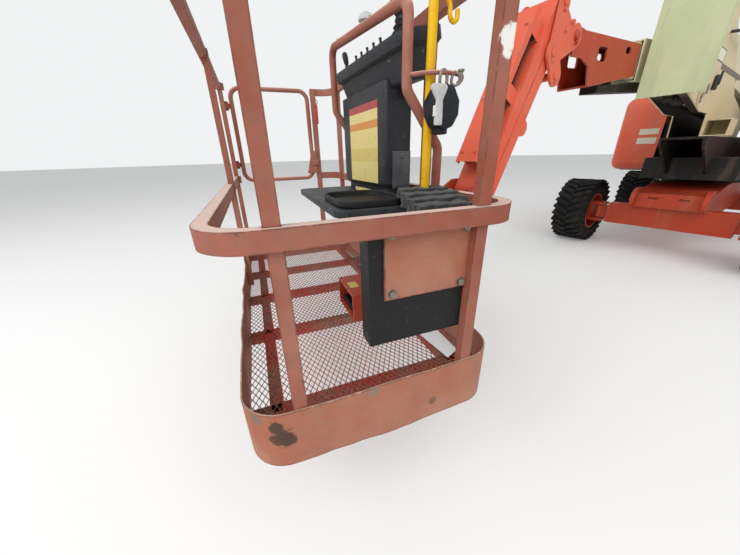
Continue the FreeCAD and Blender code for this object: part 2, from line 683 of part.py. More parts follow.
def main_boom():
    """Base section: rectangular tube with pivot bosses and the lift cylinder's ears."""
    half = BOOM_HEIGHT / 2
    w = BOOM_HALF_WIDTH
    y0, y1 = BOOM_Y - w, BOOM_Y + w
    shape = tube_beam(boom_point(-60), boom_point(BOOM_LENGTH), half, w, BOOM_WALL, 0, BOOM_Y)
    shape = shape.fuse(cross_pin(BOOM_PIVOT, PIVOT_PIN_R * 2, y0, y1))
    eye = main_cyl_eye()
    for side in (-1, 1):
        a, b = sorted((BOOM_Y + side * MAIN_EAR_IN, BOOM_Y + side * MAIN_EAR_OUT))
        shape = shape.fuse(beam(eye, boom_point(MAIN_CYL_ALONG, -half + 5), 60, a, b))
        shape = shape.fuse(cross_pin(eye, 60, a, b))
    shape = shape.cut(beam(boom_point(60), boom_point(BOOM_LENGTH), half - BOOM_WALL,
                           y0 + BOOM_WALL, y1 - BOOM_WALL, 50))
    shape = shape.cut(cross_pin(BOOM_PIVOT, PIVOT_PIN_R + PIN_GAP, y0 - 5, y1 + 5))
    pads = []
    wide = w - BOOM_WALL
    for start in (BOOM_LENGTH - 90, BOOM_LENGTH - 1200):
        for low, high in ((half - BOOM_WALL - FLY_GAP + PIN_GAP, half - BOOM_WALL + 1),
                          (-half + BOOM_WALL - 1, -half + BOOM_WALL + FLY_GAP - PIN_GAP)):
            mid = (low + high) / 2
            pads.append(beam(boom_point(start, mid), boom_point(start + 80, mid), (high - low) / 2,
                             BOOM_Y - wide + 20, BOOM_Y + wide - 20))
    return shape.fuse(pads).removeSplitter()


def fly_boom():
    """Inner section that slides in the base, seen between the base and the nose."""
    half = BOOM_HEIGHT / 2 - BOOM_WALL - FLY_GAP
    w = BOOM_HALF_WIDTH - BOOM_WALL - FLY_GAP
    start = BOOM_LENGTH - FLY_INSIDE
    return tube_beam(boom_point(start), boom_point(NOSE_START), half, w, FLY_WALL, 0, BOOM_Y)


def boom_nose():
    """Tapered box on the fly's end with cut-away lower corner, holes and pivot ears."""
    w, t = BOOM_HALF_WIDTH, NOSE_WALL
    s0, s1 = NOSE_START, NOSE_START + NOSE_LENGTH
    outer = [boom_point(s0, 105), boom_point(s1 - 20, 125), boom_point(s1, 60), boom_point(s1 + 10, -17),
             boom_point(s1 - 136, -20), boom_point(s1 - 246, -61), boom_point(s1 - 288, -183),
             boom_point(s0, -110)]
    inner = [boom_point(s0 + t, 105 - t), boom_point(s1 + 60, 125 - t), boom_point(s1 + 60, -190 + t),
             boom_point(s1 - 288 - t, -183 + t), boom_point(s0 + t, -110 + t)]
    body = plate_xz(outer, BOOM_Y - w, BOOM_Y + w)
    body = body.cut(plate_xz(inner, BOOM_Y - w + t, BOOM_Y + w - t))
    y0, y1 = BOOM_Y - w, BOOM_Y + w
    for side in (-1, 1):
        a, b = sorted((BOOM_Y + side * w, BOOM_Y + side * (w - t)))
        body = body.fuse(strap([HEAD_PIVOT, along(HEAD_PIVOT, 180, 120)], 60, a, b))
    at, off, length, height = NOSE_WINDOW
    window = beam(boom_point(at - length / 2, off), boom_point(at + length / 2, off), height / 2, y0 - 5, y1 + 5)
    corners = [e for e in window.Edges if abs(e.Vertexes[0].Y - e.Vertexes[1].Y) > 1]
    at, off, length, r = NOSE_OVAL
    oval = strap([boom_point(at - length / 2, off), boom_point(at + length / 2, off)], r, y0 - 5, y1 + 5)
    body = body.cut(window.makeFillet(18, corners)).cut(oval)
    reach = RUN_GAP + HEAD_WALL + 6
    return body.fuse(cross_pin(HEAD_PIVOT, PIVOT_PIN_R, y0 - reach, y1 + reach)).removeSplitter()


def hose_tray():
    """Open channel for the hoses, hung under the nose by a block and sliding with the fly."""
    w, t = HOSE_TRAY_HALF_WIDTH, HOSE_TRAY_WALL
    mid = HOSE_TRAY_TOP - HOSE_TRAY_DEPTH / 2
    start, end = HOSE_TRAY_START, HOSE_TRAY_END
    shape = beam(boom_point(start, mid), boom_point(end, mid), HOSE_TRAY_DEPTH / 2, BOOM_Y - w, BOOM_Y + w)
    shape = shape.cut(beam(boom_point(start, mid + t), boom_point(end, mid + t), HOSE_TRAY_DEPTH / 2,
                           BOOM_Y - w + t, BOOM_Y + w - t, 5))
    low, high = HOSE_TRAY_TOP - HOSE_TRAY_DEPTH + t / 2, -120
    for at in (end - 230, end - 60):
        block = beam(boom_point(at, (low + high) / 2), boom_point(at + 40, (low + high) / 2), (high - low) / 2,
                     BOOM_Y - w + t / 2, BOOM_Y + w - t / 2)
        shape = shape.fuse(block)
    x0, x1 = NOSE_START, NOSE_START + NOSE_LENGTH
    nose = plate_xz([boom_point(x0, 105), boom_point(x1, 105), boom_point(x1 - 288, -183), boom_point(x0, -110)],
                    BOOM_Y - BOOM_HALF_WIDTH, BOOM_Y + BOOM_HALF_WIDTH)
    return shape.cut(nose).removeSplitter()


# Jib group

def jib_point(start, distance, off=0.0):
    """Point along an arm from one of its upper pins."""
    return along(start, JIB_ANGLE, distance, off)


def jib_head():
    """Two tall plates on the boom nose that carry the jib arms, tied at two pins."""
    w = BOOM_HALF_WIDTH + RUN_GAP
    t = HEAD_WALL
    pieces = []
    for side in (-1, 1):
        y0, y1 = sorted((BOOM_Y + side * w, BOOM_Y + side * (w + t)))
        pieces.append(strap([HEAD_PIVOT, ARM_LOW], 62, y0, y1))
        pieces.append(strap([ARM_LOW, HEAD_FOOT], 58, y0, y1))
        pieces.append(strap([ARM_HIGH, ARM_LOW], 46, y0, y1))
        pieces.append(plate_xz([HEAD_PIVOT, ARM_HIGH, ARM_LOW], y0, y1))
    y0, y1 = BOOM_Y - w - 1, BOOM_Y + w + 1
    pieces += [cross_pin(ARM_HIGH, PIVOT_PIN_R, y0, y1), cross_pin(HEAD_FOOT, PIVOT_PIN_R * 0.8, y0, y1)]
    for side in (-1, 1):
        a, b = sorted((BOOM_Y + side * (w + 1), BOOM_Y + side * (ARM_HALF_WIDTH - JIB_BAR_WALL)))
        pieces.append(cross_pin(ARM_LOW, PIVOT_PIN_R, a, b))
    head = fuse(pieces)
    return head.cut(cross_pin(HEAD_PIVOT, PIVOT_PIN_R + PIN_GAP, y0 - t, y1 + t))


def jib_arm(top):
    """Rectangular tube with a bored boss at each end."""
    foot = jib_point(top, JIB_LENGTH)
    w = ARM_HALF_WIDTH
    y0, y1 = BOOM_Y - w, BOOM_Y + w
    half = ARM_DEPTH / 2
    shape = beam(top, foot, half, y0, y1).cut(beam(top, foot, half - 8, y0 + 8, y1 - 8, 5))
    for point in (top, foot):
        shape = shape.fuse(cross_pin(point, half, y0, y1))
    for point in (top, foot):
        shape = shape.cut(cross_pin(point, PIVOT_PIN_R + PIN_GAP, y0 - 5, y1 + 5))
    return shape.removeSplitter()


def upper_off():
    """Distance of the upper arm's axis above the lower arm's."""
    c, s = math.cos(math.radians(JIB_ANGLE)), math.sin(math.radians(JIB_ANGLE))
    return -s * (ARM_HIGH[0] - ARM_LOW[0]) + c * (ARM_HIGH[1] - ARM_LOW[1])


def jib_hose_guard():
    """Folded channel held in front of the upper arm by brackets, over the hoses."""
    t, w = GUARD_WALL, GUARD_HALF_WIDTH
    def bar(s0, s1, off0, off1, y0, y1):
        mid = (off0 + off1) / 2
        return beam(jib_point(ARM_LOW, s0, mid), jib_point(ARM_LOW, s1, mid), (off1 - off0) / 2, y0, y1)
    y0, y1 = BOOM_Y - w, BOOM_Y + w
    back = upper_off() + ARM_DEPTH / 2
    pieces = [bar(GUARD_START, GUARD_END, GUARD_OFF - t, GUARD_OFF, y0, y1)]
    for a, b in ((y0, y0 + t), (y1 - t, y1)):
        pieces.append(bar(GUARD_START, GUARD_END, GUARD_OFF - GUARD_DEPTH, GUARD_OFF - t + 1, a, b))
        for at in GUARD_BRACKETS:
            pieces.append(bar(at - 40, at + 40, back, GUARD_OFF - t + 1, a, b))
    for at in GUARD_BRACKETS:
        pieces.append(bar(at - 40, at + 40, back, back + t, y0, y1))
    return fuse(pieces)


def jib_cyl_eye():
    """Pin of the jib cylinder behind the lower arm."""
    return jib_point(ARM_LOW, JIB_CYL_ALONG, -JIB_CYL_OFF)


def jib_lower_arm():
    """Rear arm: two flat bars tied at the foot, with ears for the jib cylinder's pin."""
    top, foot, eye = ARM_LOW, jib_point(ARM_LOW, JIB_LENGTH), jib_cyl_eye()
    half, w = ARM_DEPTH / 2, ARM_HALF_WIDTH
    pieces = []
    for side in (-1, 1):
        y0, y1 = sorted((BOOM_Y + side * w, BOOM_Y + side * (w - JIB_BAR_WALL)))
        pieces.append(strap([top, foot], half, y0, y1))
        pieces.append(cross_pin(eye, JIB_CYL_R + 16, y0, y1))
    pieces.append(cross_pin(foot, half, BOOM_Y - w + 1, BOOM_Y + w - 1))
    shape = fuse(pieces)
    for point in (top, foot):
        shape = shape.cut(cross_pin(point, PIVOT_PIN_R + PIN_GAP, BOOM_Y - w - 5, BOOM_Y + w + 5))
    return shape.removeSplitter()


def small_barrel():
    """Jib cylinder's barrel on the head's foot pin."""
    base, eye = HEAD_FOOT, jib_cyl_eye()
    angle = math.degrees(math.atan2(eye[1] - base[1], eye[0] - base[0]))
    length = math.hypot(eye[0] - base[0], eye[1] - base[1])
    p, q = along(base, angle, 20), along(base, angle, length - 110)
    shape = rod((p[0], BOOM_Y, p[1]), (q[0], BOOM_Y, q[1]), JIB_CYL_R)
    shape = shape.fuse(cross_pin(base, JIB_CYL_R, BOOM_Y - 28, BOOM_Y + 28))
    bore_p, bore_q = along(base, angle, 60), along(base, angle, length)
    shape = shape.cut(rod((bore_p[0], BOOM_Y, bore_p[1]), (bore_q[0], BOOM_Y, bore_q[1]), JIB_ROD_R + PIN_GAP))
    return shape.cut(cross_pin(base, PIVOT_PIN_R * 0.8 + PIN_GAP, BOOM_Y - 60, BOOM_Y + 60))


def small_rod():
    """Jib cylinder's rod with its eye and pin."""
    base, eye = HEAD_FOOT, jib_cyl_eye()
    angle = math.degrees(math.atan2(eye[1] - base[1], eye[0] - base[0]))
    length = math.hypot(eye[0] - base[0], eye[1] - base[1])
    p, q = along(base, angle, 80), along(base, angle, length - 20)
    shape = rod((p[0], BOOM_Y, p[1]), (q[0], BOOM_Y, q[1]), JIB_ROD_R)
    shape = shape.fuse(cross_pin(eye, JIB_CYL_R, BOOM_Y - 28, BOOM_Y + 28))
    half = ARM_HALF_WIDTH - JIB_BAR_WALL - PIN_GAP
    return shape.fuse(cross_pin(eye, PIVOT_PIN_R * 0.7, BOOM_Y - half, BOOM_Y + half))


def rotator_head():
    """Bracket on the arms' lower pins with the vertical rotator."""
    low, high = jib_point(ARM_LOW, JIB_LENGTH), jib_point(ARM_HIGH, JIB_LENGTH)
    w = ARM_HALF_WIDTH + RUN_GAP
    t = HEAD_WALL
    outline = [(low[0] - 60, low[1] - 60), (ROTATOR_X, low[1] - 60), (ROTATOR_X, high[1] - 100),
               (high[0] + 60, high[1] + 60), (high[0] - 60, high[1] + 60), (low[0] - 60, low[1] + 60)]
    pieces = []
    for side in (-1, 1):
        y0, y1 = sorted((BOOM_Y + side * w, BOOM_Y + side * (w + t)))
        pieces.append(plate_xz(outline, y0, y1))
    y0, y1 = BOOM_Y - w - t, BOOM_Y + w + t
    pieces += [cross_pin(low, PIVOT_PIN_R, y0, y1), cross_pin(high, PIVOT_PIN_R, y0, y1),
               box(ROTATOR_X - 70, ROTATOR_X - 40, y0, y1, low[1] - 60, high[1] - 100),
               rod((ROTATOR_X, BOOM_Y, ROTATOR_BOTTOM), (ROTATOR_X, BOOM_Y, ROTATOR_TOP), ROTATOR_R)]
    return fuse(pieces)


# Platform, drawn in its own frame and then set on the rotator

def on_platform(shape):
    """Move a shape from the platform's frame to the machine's."""
    turned = shape.copy()
    turned.translate(V(-PLAT_A - PLAT_STANDOFF, -PLAT_B / 2, 0))
    turned.rotate(V(0, 0, 0), V(0, 0, 1), 180 + PLAT_YAW)
    turned.translate(V(ROTATOR_X, BOOM_Y, PLAT_FLOOR_Z))
    return turned


def platform_support():
    """Carrier from the rotator to the platform's inner side."""
    low, high = ROTATOR_BOTTOM - PLAT_FLOOR_Z, ROTATOR_TOP - PLAT_FLOOR_Z
    a_axis, mid = PLAT_A + PLAT_STANDOFF, PLAT_B / 2
    a_in = PLAT_A
    pieces = [box(a_in, a_in + 25, mid - 260, mid + 260, KICK_BOTTOM + 20, high + 30)]
    for c0 in (low - 20.3, high + 0.3):
        pieces.append(box(a_in, a_axis, mid - ROTATOR_R, mid + ROTATOR_R, c0, c0 + 20))
        pieces.append(rod((a_axis, mid, c0), (a_axis, mid, c0 + 20), ROTATOR_R))
    return on_platform(fuse(pieces))


def platform_floor():
    """Floor mesh as a plate on a frame of square tubes."""
    plate = box(6, PLAT_A - 6, 6, PLAT_B - 6, -FLOOR_THICK, 0)
    upright_edges = [e for e in plate.Edges if abs(e.Vertexes[0].Z - e.Vertexes[1].Z) > 1]
    plate = plate.makeFillet(CORNER_R - 6, upright_edges)
    pieces = [plate]
    low, top = -FLOOR_THICK - FLOOR_TUBE, -FLOOR_THICK
    for b in (CORNER_R + 10, PLAT_B * 0.3, PLAT_B * 0.5, PLAT_B * 0.7, PLAT_B - CORNER_R - 50):
        pieces.append(box(6, PLAT_A - 6, b, b + FLOOR_TUBE, low, top))
    for a in (60, PLAT_A - 60 - FLOOR_TUBE):
        pieces.append(box(a, a + FLOOR_TUBE, CORNER_R, PLAT_B - CORNER_R, low, top))
    return on_platform(fuse(pieces))


def kick_plate():
    """Band of sheet steel round the floor, with round corners."""
    return on_platform(rounded_ring(0, PLAT_A, 0, PLAT_B, CORNER_R, KICK_WALL, KICK_BOTTOM, KICK_TOP))


POSTS = (
    # a, b, side of the platform that the post stands on
    (141.0, 0.0, "near"),
    (629.0, 0.0, "near"),
    (0.0, 1100.0, "left"),
    (0.0, PLAT_B - GATE_POST_B, "left"),
    (PLAT_A, 470.0, "right"),
    (PLAT_A, 1150.0, "right"),
    (PLAT_A, 1640.0, "right"),
    (610.0, PLAT_B, "far"),
)


def post(a, b, side, foot, top):
    """Flattened tube inside the kick plate's line, its broad face outwards, flared at its foot."""
    half, near, far = POST_WIDTH / 2, KICK_WALL, KICK_WALL + POST_DEPTH
    spans = {"near": (a - half, a + half, near, far), "far": (a - half, a + half, b - far, b - near),
             "left": (near, far, b - half, b + half), "right": (a - far, a - near, b - half, b + half)}
    bar = box(*spans[side], foot, top)
    if side in ("near", "right"):
        return bar
    wide, low, high = half + POST_FLARE, KICK_TOP - 20, KICK_TOP + POST_FLARE_UP
    mid = a if side == "far" else b
    outline = [(mid - wide, low), (mid + wide, low), (mid + half, high), (mid - half, high)]
    if side == "far":
        return bar.fuse(plate_xz(outline, b - far, b - far + 6))
    loop = [V(near, y, z) for y, z in outline]
    return bar.fuse(Part.Face(Part.makePolygon(loop + loop[:1])).extrude(V(6, 0, 0)))


def guard_rails():
    """Mid-rail and top rail bands on flattened-tube posts, open at the gate, in three lengths."""
    out = RAIL_DEPTH - RAIL_LAP
    pieces = []
    for top, height in ((MID_TOP, MID_HEIGHT), (TOP_TOP, TOP_HEIGHT)):
        pieces.append(rounded_ring(-out, PLAT_A + out, -out, PLAT_B + out, CORNER_R + out, RAIL_DEPTH,
                                   top - height, top))
    pieces += [post(a, b, side, 0, TOP_TOP - 5) for a, b, side in POSTS]
    shape = fuse(pieces)
    gap_b = PLAT_B - GATE_POST_B + POST_WIDTH / 2
    shape = shape.cut(box(-60, 610 - POST_WIDTH / 2, gap_b, PLAT_B + 60, 10, TOP_TOP + 10))
    shape = shape.cut(rounded_ring(0, PLAT_A, 0, PLAT_B, CORNER_R, KICK_WALL, KICK_BOTTOM, KICK_TOP))
    a, b = GATE_HINGE_A, gate_b()
    hinges = []
    for c in GATE_HINGE_C:
        for low in (c - 26, c + 16):
            hinges.append(box(KICK_WALL, KICK_WALL + POST_DEPTH, gap_b - 1, b + GATE_HINGE_R, low, low + 10))
            hinges.append(box(KICK_WALL, a, b - GATE_HINGE_R, b + GATE_HINGE_R, low, low + 10))
        hinges.append(rod((a, b, c - 26), (a, b, c + 26), GATE_HINGE_R))
    shape = fuse([shape] + hinges)
    mid = PLAT_B / 2
    spans = {"guard_rails": (-60, PLAT_A + 60, -60, mid), "guard_rails_left": (-60, PLAT_A / 2, mid, PLAT_B + 60),
             "guard_rails_right": (PLAT_A / 2, PLAT_A + 60, mid, PLAT_B + 60)}
    return {name: on_platform(shape.common(box(*span, -10, TOP_TOP + 60))) for name, span in spans.items()}


def gate_b():
    """Depth of the gate's middle plane along the platform."""
    return PLAT_B - GATE_R - 2


def gate():
    """Bent-tube gate across the far end, its hinge eyes round pins on the corner post."""
    b = gate_b()
    a0, a1 = GATE_HINGE_A + 30, GATE_A1 - GATE_R
    c0, c1 = GATE_BOTTOM + GATE_R, TOP_TOP - GATE_R
    frame = bent_tube([(a0, b, c0 + 200), (a0, b, c1), (a1, b, c1), (a1, b, c0), (a0, b, c0), (a0, b, c0 + 200)],
                      GATE_R, 60)
    pieces = [frame]
    for c in GATE_HINGE_C:
        pieces.append(rod((GATE_HINGE_A, b, c - 15.7), (GATE_HINGE_A, b, c + 15.7), 14))
        pieces.append(box(GATE_HINGE_A, a0, b - 5, b + 5, c - 12, c + 12))
    shape = fuse(pieces)
    for c in GATE_HINGE_C:
        shape = shape.cut(rod((GATE_HINGE_A, b, c - 30), (GATE_HINGE_A, b, c + 30), GATE_HINGE_R + PIN_GAP))
    return on_platform(shape)


def head_box(lip):
    """The control box's body, or its lid where a lip is given, tilted and turned on the pedestal."""
    a0, b0 = HEAD_BOX_NEAR
    low, top = HEAD_BOX_FRONT
    back_low, back_top = HEAD_BOX_BACK
    if lip:
        low, back_low = top - HEAD_BOX_LID, back_top - HEAD_BOX_LID
    side = [(a0 - lip, low), (a0 + HEAD_BOX_DEPTH + lip, back_low), (a0 + HEAD_BOX_DEPTH + lip, back_top),
            (a0 - lip, top)]
    shape = plate_xz(side, b0 - lip, b0 + HEAD_BOX_LENGTH + lip)
    shape.rotate(V(a0, b0, 0), V(0, 0, 1), HEAD_BOX_YAW)
    return shape


def console_base():
    """Moulded pedestal on the boom side with a tray at rail height."""
    (na, nb), (fa, fb), a1 = CONSOLE_NEAR, CONSOLE_FAR, CONSOLE_A1
    column = plate_xy([(na, nb + 20), (na + 20, nb), (a1, nb), (a1, fb), (fa + 20, fb), (fa, fb - 20)],
                      MID_TOP - 40, CONSOLE_TOP)
    top = MID_TOP - 30
    tray = box(CONSOLE_TRAY_A, PLAT_A - KICK_WALL - POST_DEPTH - PIN_GAP, *CONSOLE_TRAY_B,
               top - CONSOLE_TRAY_THICK, top)
    return on_platform(fuse([column.cut(head_box(0)), tray]))


def console_head():
    """Tilted control box with an overhanging lid, on top of the pedestal."""
    return on_platform(fuse([head_box(0), head_box(HEAD_BOX_LIP)]))


def console_guard():
    """Two bent hoops, past the console's ends, joined by an upper rail."""
    (na, nb, nc), (fa, fb, fc) = HOOP_NEAR, HOOP_FAR
    foot, reach = MID_TOP - 30, HOOP_FOOT_IN
    return on_platform(bent_tube([(na + reach, nb, foot), (na + reach, nb, foot + 165), (na, nb, foot + 320),
                                  (na, nb, nc), (fa, fb, fc), (fa, fb, foot + 335),
                                  (fa + reach, fb, foot + 180), (fa + reach, fb, foot)], HOOP_R, 40))


def storage_box():
    """Open-topped document box hung inside the near rail."""
    b0, depth, wall = KICK_WALL + POST_DEPTH + 1, STORAGE_DEPTH, 6.0
    shape = box(338, 630, b0, b0 + depth, 205, 490)
    return on_platform(shape.cut(box(338 + wall, 630 - wall, b0 + wall, b0 + depth - wall, 205 + wall, 500)))


def storage_plate():
    """Flat plate from the inside of the near mid-rail down over the box."""
    b0, b1 = RAIL_LAP, KICK_WALL + POST_DEPTH + 1
    return on_platform(box(376, 629 - POST_WIDTH / 2, b0, b1, 335, MID_TOP - 10))


def foot_switch():
    """Guard of the foot switch, open towards the operator."""
    shape = box(430, 560, 480, 700, 0.3, 125)
    return on_platform(shape.cut(box(425, 552, 488, 692, 6, 117)))


def lifeline_reel():
    """Block of a self-retracting lifeline strapped to the yellow tube."""
    outline = [(602, 781), (625, 837), (686, 837), (709, 781), (695, 730), (672, 697), (639, 697), (616, 730)]
    back = REEL_B - YELLOW_R - PIN_GAP
    return on_platform(plate_xz(outline, back - 45, back))


def yellow_tube():
    """Upright yellow tube standing on the console's tray."""
    return on_platform(rod((640, REEL_B, MID_TOP - 30), (640, REEL_B, TOP_TOP + 120), YELLOW_R))


def build():
    """Make every piece and return it by name."""
    parts = {"chassis_frame": chassis_frame(), "front_axle": front_axle(), "rear_axle": rear_axle(),
             "tie_rod": tie_rod(), "swing_bearing": swing_bearing()}
    for end, x in (("front", AXLE_X), ("rear", -AXLE_X)):
        for name, side in (("left", 1), ("right", -1)):
            parts["tyre_%s_%s" % (end, name)] = tyre(x, side)
            parts["rim_%s_%s" % (end, name)] = rim(x, side)
    for name, side in (("left", 1), ("right", -1)):
        parts["knuckle_" + name] = knuckle(side)
        parts["hood_" + name] = hood(side)
    parts["turntable_frame"] = turntable_frame()
    parts["counterweight"] = counterweight()
    parts["engine_block"] = engine_block()
    parts["hydraulic_tank"] = hydraulic_tank()
    parts["tower_housing"] = tower_housing()
    parts["tower_cover"] = tower_cover()
    parts["tower_boom"] = tower_boom()
    parts["tower_link"] = tower_link()
    parts["tower_cylinder_barrel"] = cylinder_barrel(TOWER_CYL_BASE, tower_cyl_eye(), TOWER_CYL_R, TOWER_ROD_R, 0)
    parts["tower_cylinder_rod"] = cylinder_rod(TOWER_CYL_BASE, tower_cyl_eye(), TOWER_CYL_R, TOWER_ROD_R, 0,
                                               TOWER_EAR_IN - PIN_GAP)
    parts["upright"] = upright()
    parts["main_boom"] = main_boom()
    parts["main_cylinder_barrel"] = cylinder_barrel(MAIN_CYL_BASE, main_cyl_eye(), MAIN_CYL_R, MAIN_ROD_R, BOOM_Y)
    parts["main_cylinder_rod"] = cylinder_rod(MAIN_CYL_BASE, main_cyl_eye(), MAIN_CYL_R, MAIN_ROD_R, BOOM_Y,
                                              MAIN_EAR_IN - PIN_GAP)
    parts["fly_boom"] = fly_boom()
    parts["hose_tray"] = hose_tray()
    parts["boom_nose"] = boom_nose()
    parts["jib_head"] = jib_head()
    parts["jib_upper_arm"] = jib_arm(ARM_HIGH)
    parts["jib_lower_arm"] = jib_lower_arm()
    parts["jib_hose_guard"] = jib_hose_guard()
    parts["jib_cylinder_barrel"] = small_barrel()
    parts["jib_cylinder_rod"] = small_rod()
    parts["rotator_head"] = rotator_head()
    parts["platform_support"] = platform_support()
    parts["platform_floor"] = platform_floor()
    parts["kick_plate"] = kick_plate()
    parts.update(guard_rails())
    parts["gate"] = gate()
    parts["console_base"] = console_base()
    parts["console_head"] = console_head()
    parts["console_guard"] = console_guard()
    parts["storage_box"] = storage_box()
    parts["storage_plate"] = storage_plate()
    parts["foot_switch"] = foot_switch()
    parts["lifeline_reel"] = lifeline_reel()
    parts["yellow_tube"] = yellow_tube()
    return parts


def centre_on_ground(parts):
    """Offset that brings the middle of the whole machine's box over the origin, on the ground."""
    boxes = [shape.optimalBoundingBox(False) for shape in parts.values()]
    x = (min(b.XMin for b in boxes) + max(b.XMax for b in boxes)) / 2
    y = (min(b.YMin for b in boxes) + max(b.YMax for b in boxes)) / 2
    return V(-x, -y, 0)


os.makedirs("parts", exist_ok=True)
parts = build()
shift = centre_on_ground(parts)
print("shift", round(shift.x, 4), round(shift.y, 4))
for node, shape in parts.items():
    shape.translate(shift)
    print(node, len(shape.Solids), "valid" if shape.isValid() else "INVALID", round(shape.Volume / 1e6, 2))
    shape.exportStep("parts/%s.step" % node)
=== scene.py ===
import json
import math
import bpy
from mathutils import Matrix, Vector


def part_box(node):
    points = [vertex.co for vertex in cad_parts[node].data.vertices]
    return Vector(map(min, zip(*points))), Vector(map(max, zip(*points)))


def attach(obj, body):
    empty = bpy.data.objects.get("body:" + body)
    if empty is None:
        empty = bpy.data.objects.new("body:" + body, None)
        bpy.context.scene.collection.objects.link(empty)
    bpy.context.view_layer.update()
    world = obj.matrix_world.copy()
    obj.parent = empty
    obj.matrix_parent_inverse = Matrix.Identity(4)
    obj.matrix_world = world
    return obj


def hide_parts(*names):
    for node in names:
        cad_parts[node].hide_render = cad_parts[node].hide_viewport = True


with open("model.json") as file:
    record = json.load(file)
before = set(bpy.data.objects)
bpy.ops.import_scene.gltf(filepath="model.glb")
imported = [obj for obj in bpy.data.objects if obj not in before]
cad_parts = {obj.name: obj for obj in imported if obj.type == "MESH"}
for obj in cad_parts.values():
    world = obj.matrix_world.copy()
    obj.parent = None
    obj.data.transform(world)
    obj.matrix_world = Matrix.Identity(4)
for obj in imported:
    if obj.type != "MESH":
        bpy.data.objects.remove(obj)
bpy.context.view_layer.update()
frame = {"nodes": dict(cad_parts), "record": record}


# The camera. The photograph was taken by hand with a wide lens, a step outside the platform's near
# end, so its place is written from the middle of the swing bearing, on the ground.
def middle(node):
    low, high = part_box(node)
    return [(low[i] + high[i]) / 2 for i in range(3)]


SWING_X, SWING_Y = middle("swing_bearing")[:2]


def machine(x, y, z):
    """A point given in metres from the swing centre on the ground."""
    return Vector((SWING_X + x, SWING_Y + y, z))


PLAT_A, PLAT_B, STANDOFF, YAW = 0.76, 1.83, 0.30, -13.1
TO_MACHINE = (Matrix.Translation(machine(4.810, -0.345, 0.556))
              @ Matrix.Rotation(math.radians(180 + YAW), 4, "Z")
              @ Matrix.Translation((-PLAT_A - STANDOFF, -PLAT_B / 2, 0)))


def on_plat(a, b, c):
    """A point in the platform's own frame: inwards, from its left end, and up from its floor."""
    return TO_MACHINE @ Vector((a, b, c))


look = Vector((-0.5097, -0.7644, -0.3951)).normalized()
level = Vector((-0.8320, 0.5548, 0.0)).normalized()
roll = math.radians(-1.44)
upward = level.cross(look)
right = level * math.cos(roll) + upward * math.sin(roll)
upright = upward * math.cos(roll) - level * math.sin(roll)
view = Matrix((right, upright, -look)).transposed().to_4x4()
view.translation = machine(6.052, 0.865, 1.223)
camera = bpy.data.objects.new("camera", bpy.data.cameras.new("camera"))
PHOTO_WIDTH, FOCAL_PIXELS, SENSOR = 740, 286.2, 36.0
camera.data.sensor_width = SENSOR
camera.data.lens = FOCAL_PIXELS / PHOTO_WIDTH * SENSOR
camera.data.clip_start = 0.02
camera.matrix_world = view
bpy.context.collection.objects.link(camera)
bpy.context.scene.camera = camera
bpy.context.scene.view_settings.view_transform = "Standard"


# The light. A pale world from all sides, as under the photograph's cloudy sky, and two broad soft lamps
# high behind the camera: the key to its right, which casts the soft shadow, and a weaker one to its left.
def colour(code):
    """sRGB hex to linear colour with full alpha."""
    parts = [int(code[i:i + 2], 16) / 255 for i in (1, 3, 5)]
    return [c / 12.92 if c <= 0.04045 else ((c + 0.055) / 1.055) ** 2.4 for c in parts] + [1.0]


def plug(tree, node, sockets):
    """Gives each socket its value, or links another node's output to it."""
    for key, value in dict(sockets).items():
        if isinstance(value, bpy.types.NodeSocket):
            tree.links.new(value, node.inputs[key])
        else:
            node.inputs[key].default_value = value


def add(tree, kind, sockets=(), **settings):
    """A node with its settings and its plugged sockets."""
    made = tree.nodes.new("ShaderNode" + kind)
    for name, value in settings.items():
        setattr(made, name, value)
    plug(tree, made, sockets)
    return made


def lamp(name, place, aim, energy, size, size_y):
    """A rectangular area lamp at a place, turned to its aim."""
    made = bpy.data.objects.new(name, bpy.data.lights.new(name, "AREA"))
    made.data.shape = "RECTANGLE"
    made.data.size, made.data.size_y = size, size_y
    made.data.energy = energy
    made.location = place
    made.rotation_euler = (aim - place).to_track_quat("-Z", "Y").to_euler()
    bpy.context.collection.objects.link(made)


world = bpy.data.worlds.new("cloudy_studio")
bpy.context.scene.world = world
world.use_nodes = True
sky = world.node_tree
sky.nodes.clear()
paths = add(sky, "LightPath")
seen = add(sky, "Math", {0: paths.outputs["Is Camera Ray"], 1: paths.outputs["Is Glossy Ray"]},
           operation="MAXIMUM")
seen = add(sky, "Math", {0: seen.outputs[0], 1: paths.outputs["Is Transmission Ray"]}, operation="MAXIMUM")
lit = add(sky, "Background", {"Color": colour("#F4F6F8"), "Strength": 0.56})
shown = add(sky, "Background", {"Color": colour("#F1F2F3"), "Strength": 1.0})
both = add(sky, "MixShader", {0: seen.outputs[0], 1: lit.outputs[0], 2: shown.outputs[0]})
add(sky, "OutputWorld", {"Surface": both.outputs[0]})

lamp("key_lamp", machine(6.5, 8.0, 10.5), machine(1.5, -0.4, 1.0), 850.0, 14.0, 12.0)
lamp("fill_lamp", machine(12.0, 0.5, 6.5), machine(1.5, -0.4, 1.2), 460.0, 7.0, 7.0)


# The floor. A plain pale sheet that the tyres stand on and that takes the soft shadow.
def fresh():
    """Object mode with nothing selected, ready for the next primitive."""
    if bpy.context.object and bpy.context.object.mode != "OBJECT":
        bpy.ops.object.mode_set(mode="OBJECT")
    bpy.ops.object.select_all(action="DESELECT")


def edit_all():
    """Edit mode with everything selected."""
    bpy.ops.object.mode_set(mode="EDIT")
    bpy.ops.mesh.select_all(action="SELECT")


def edit_done():
    """Back to object mode."""
    bpy.ops.object.mode_set(mode="OBJECT")


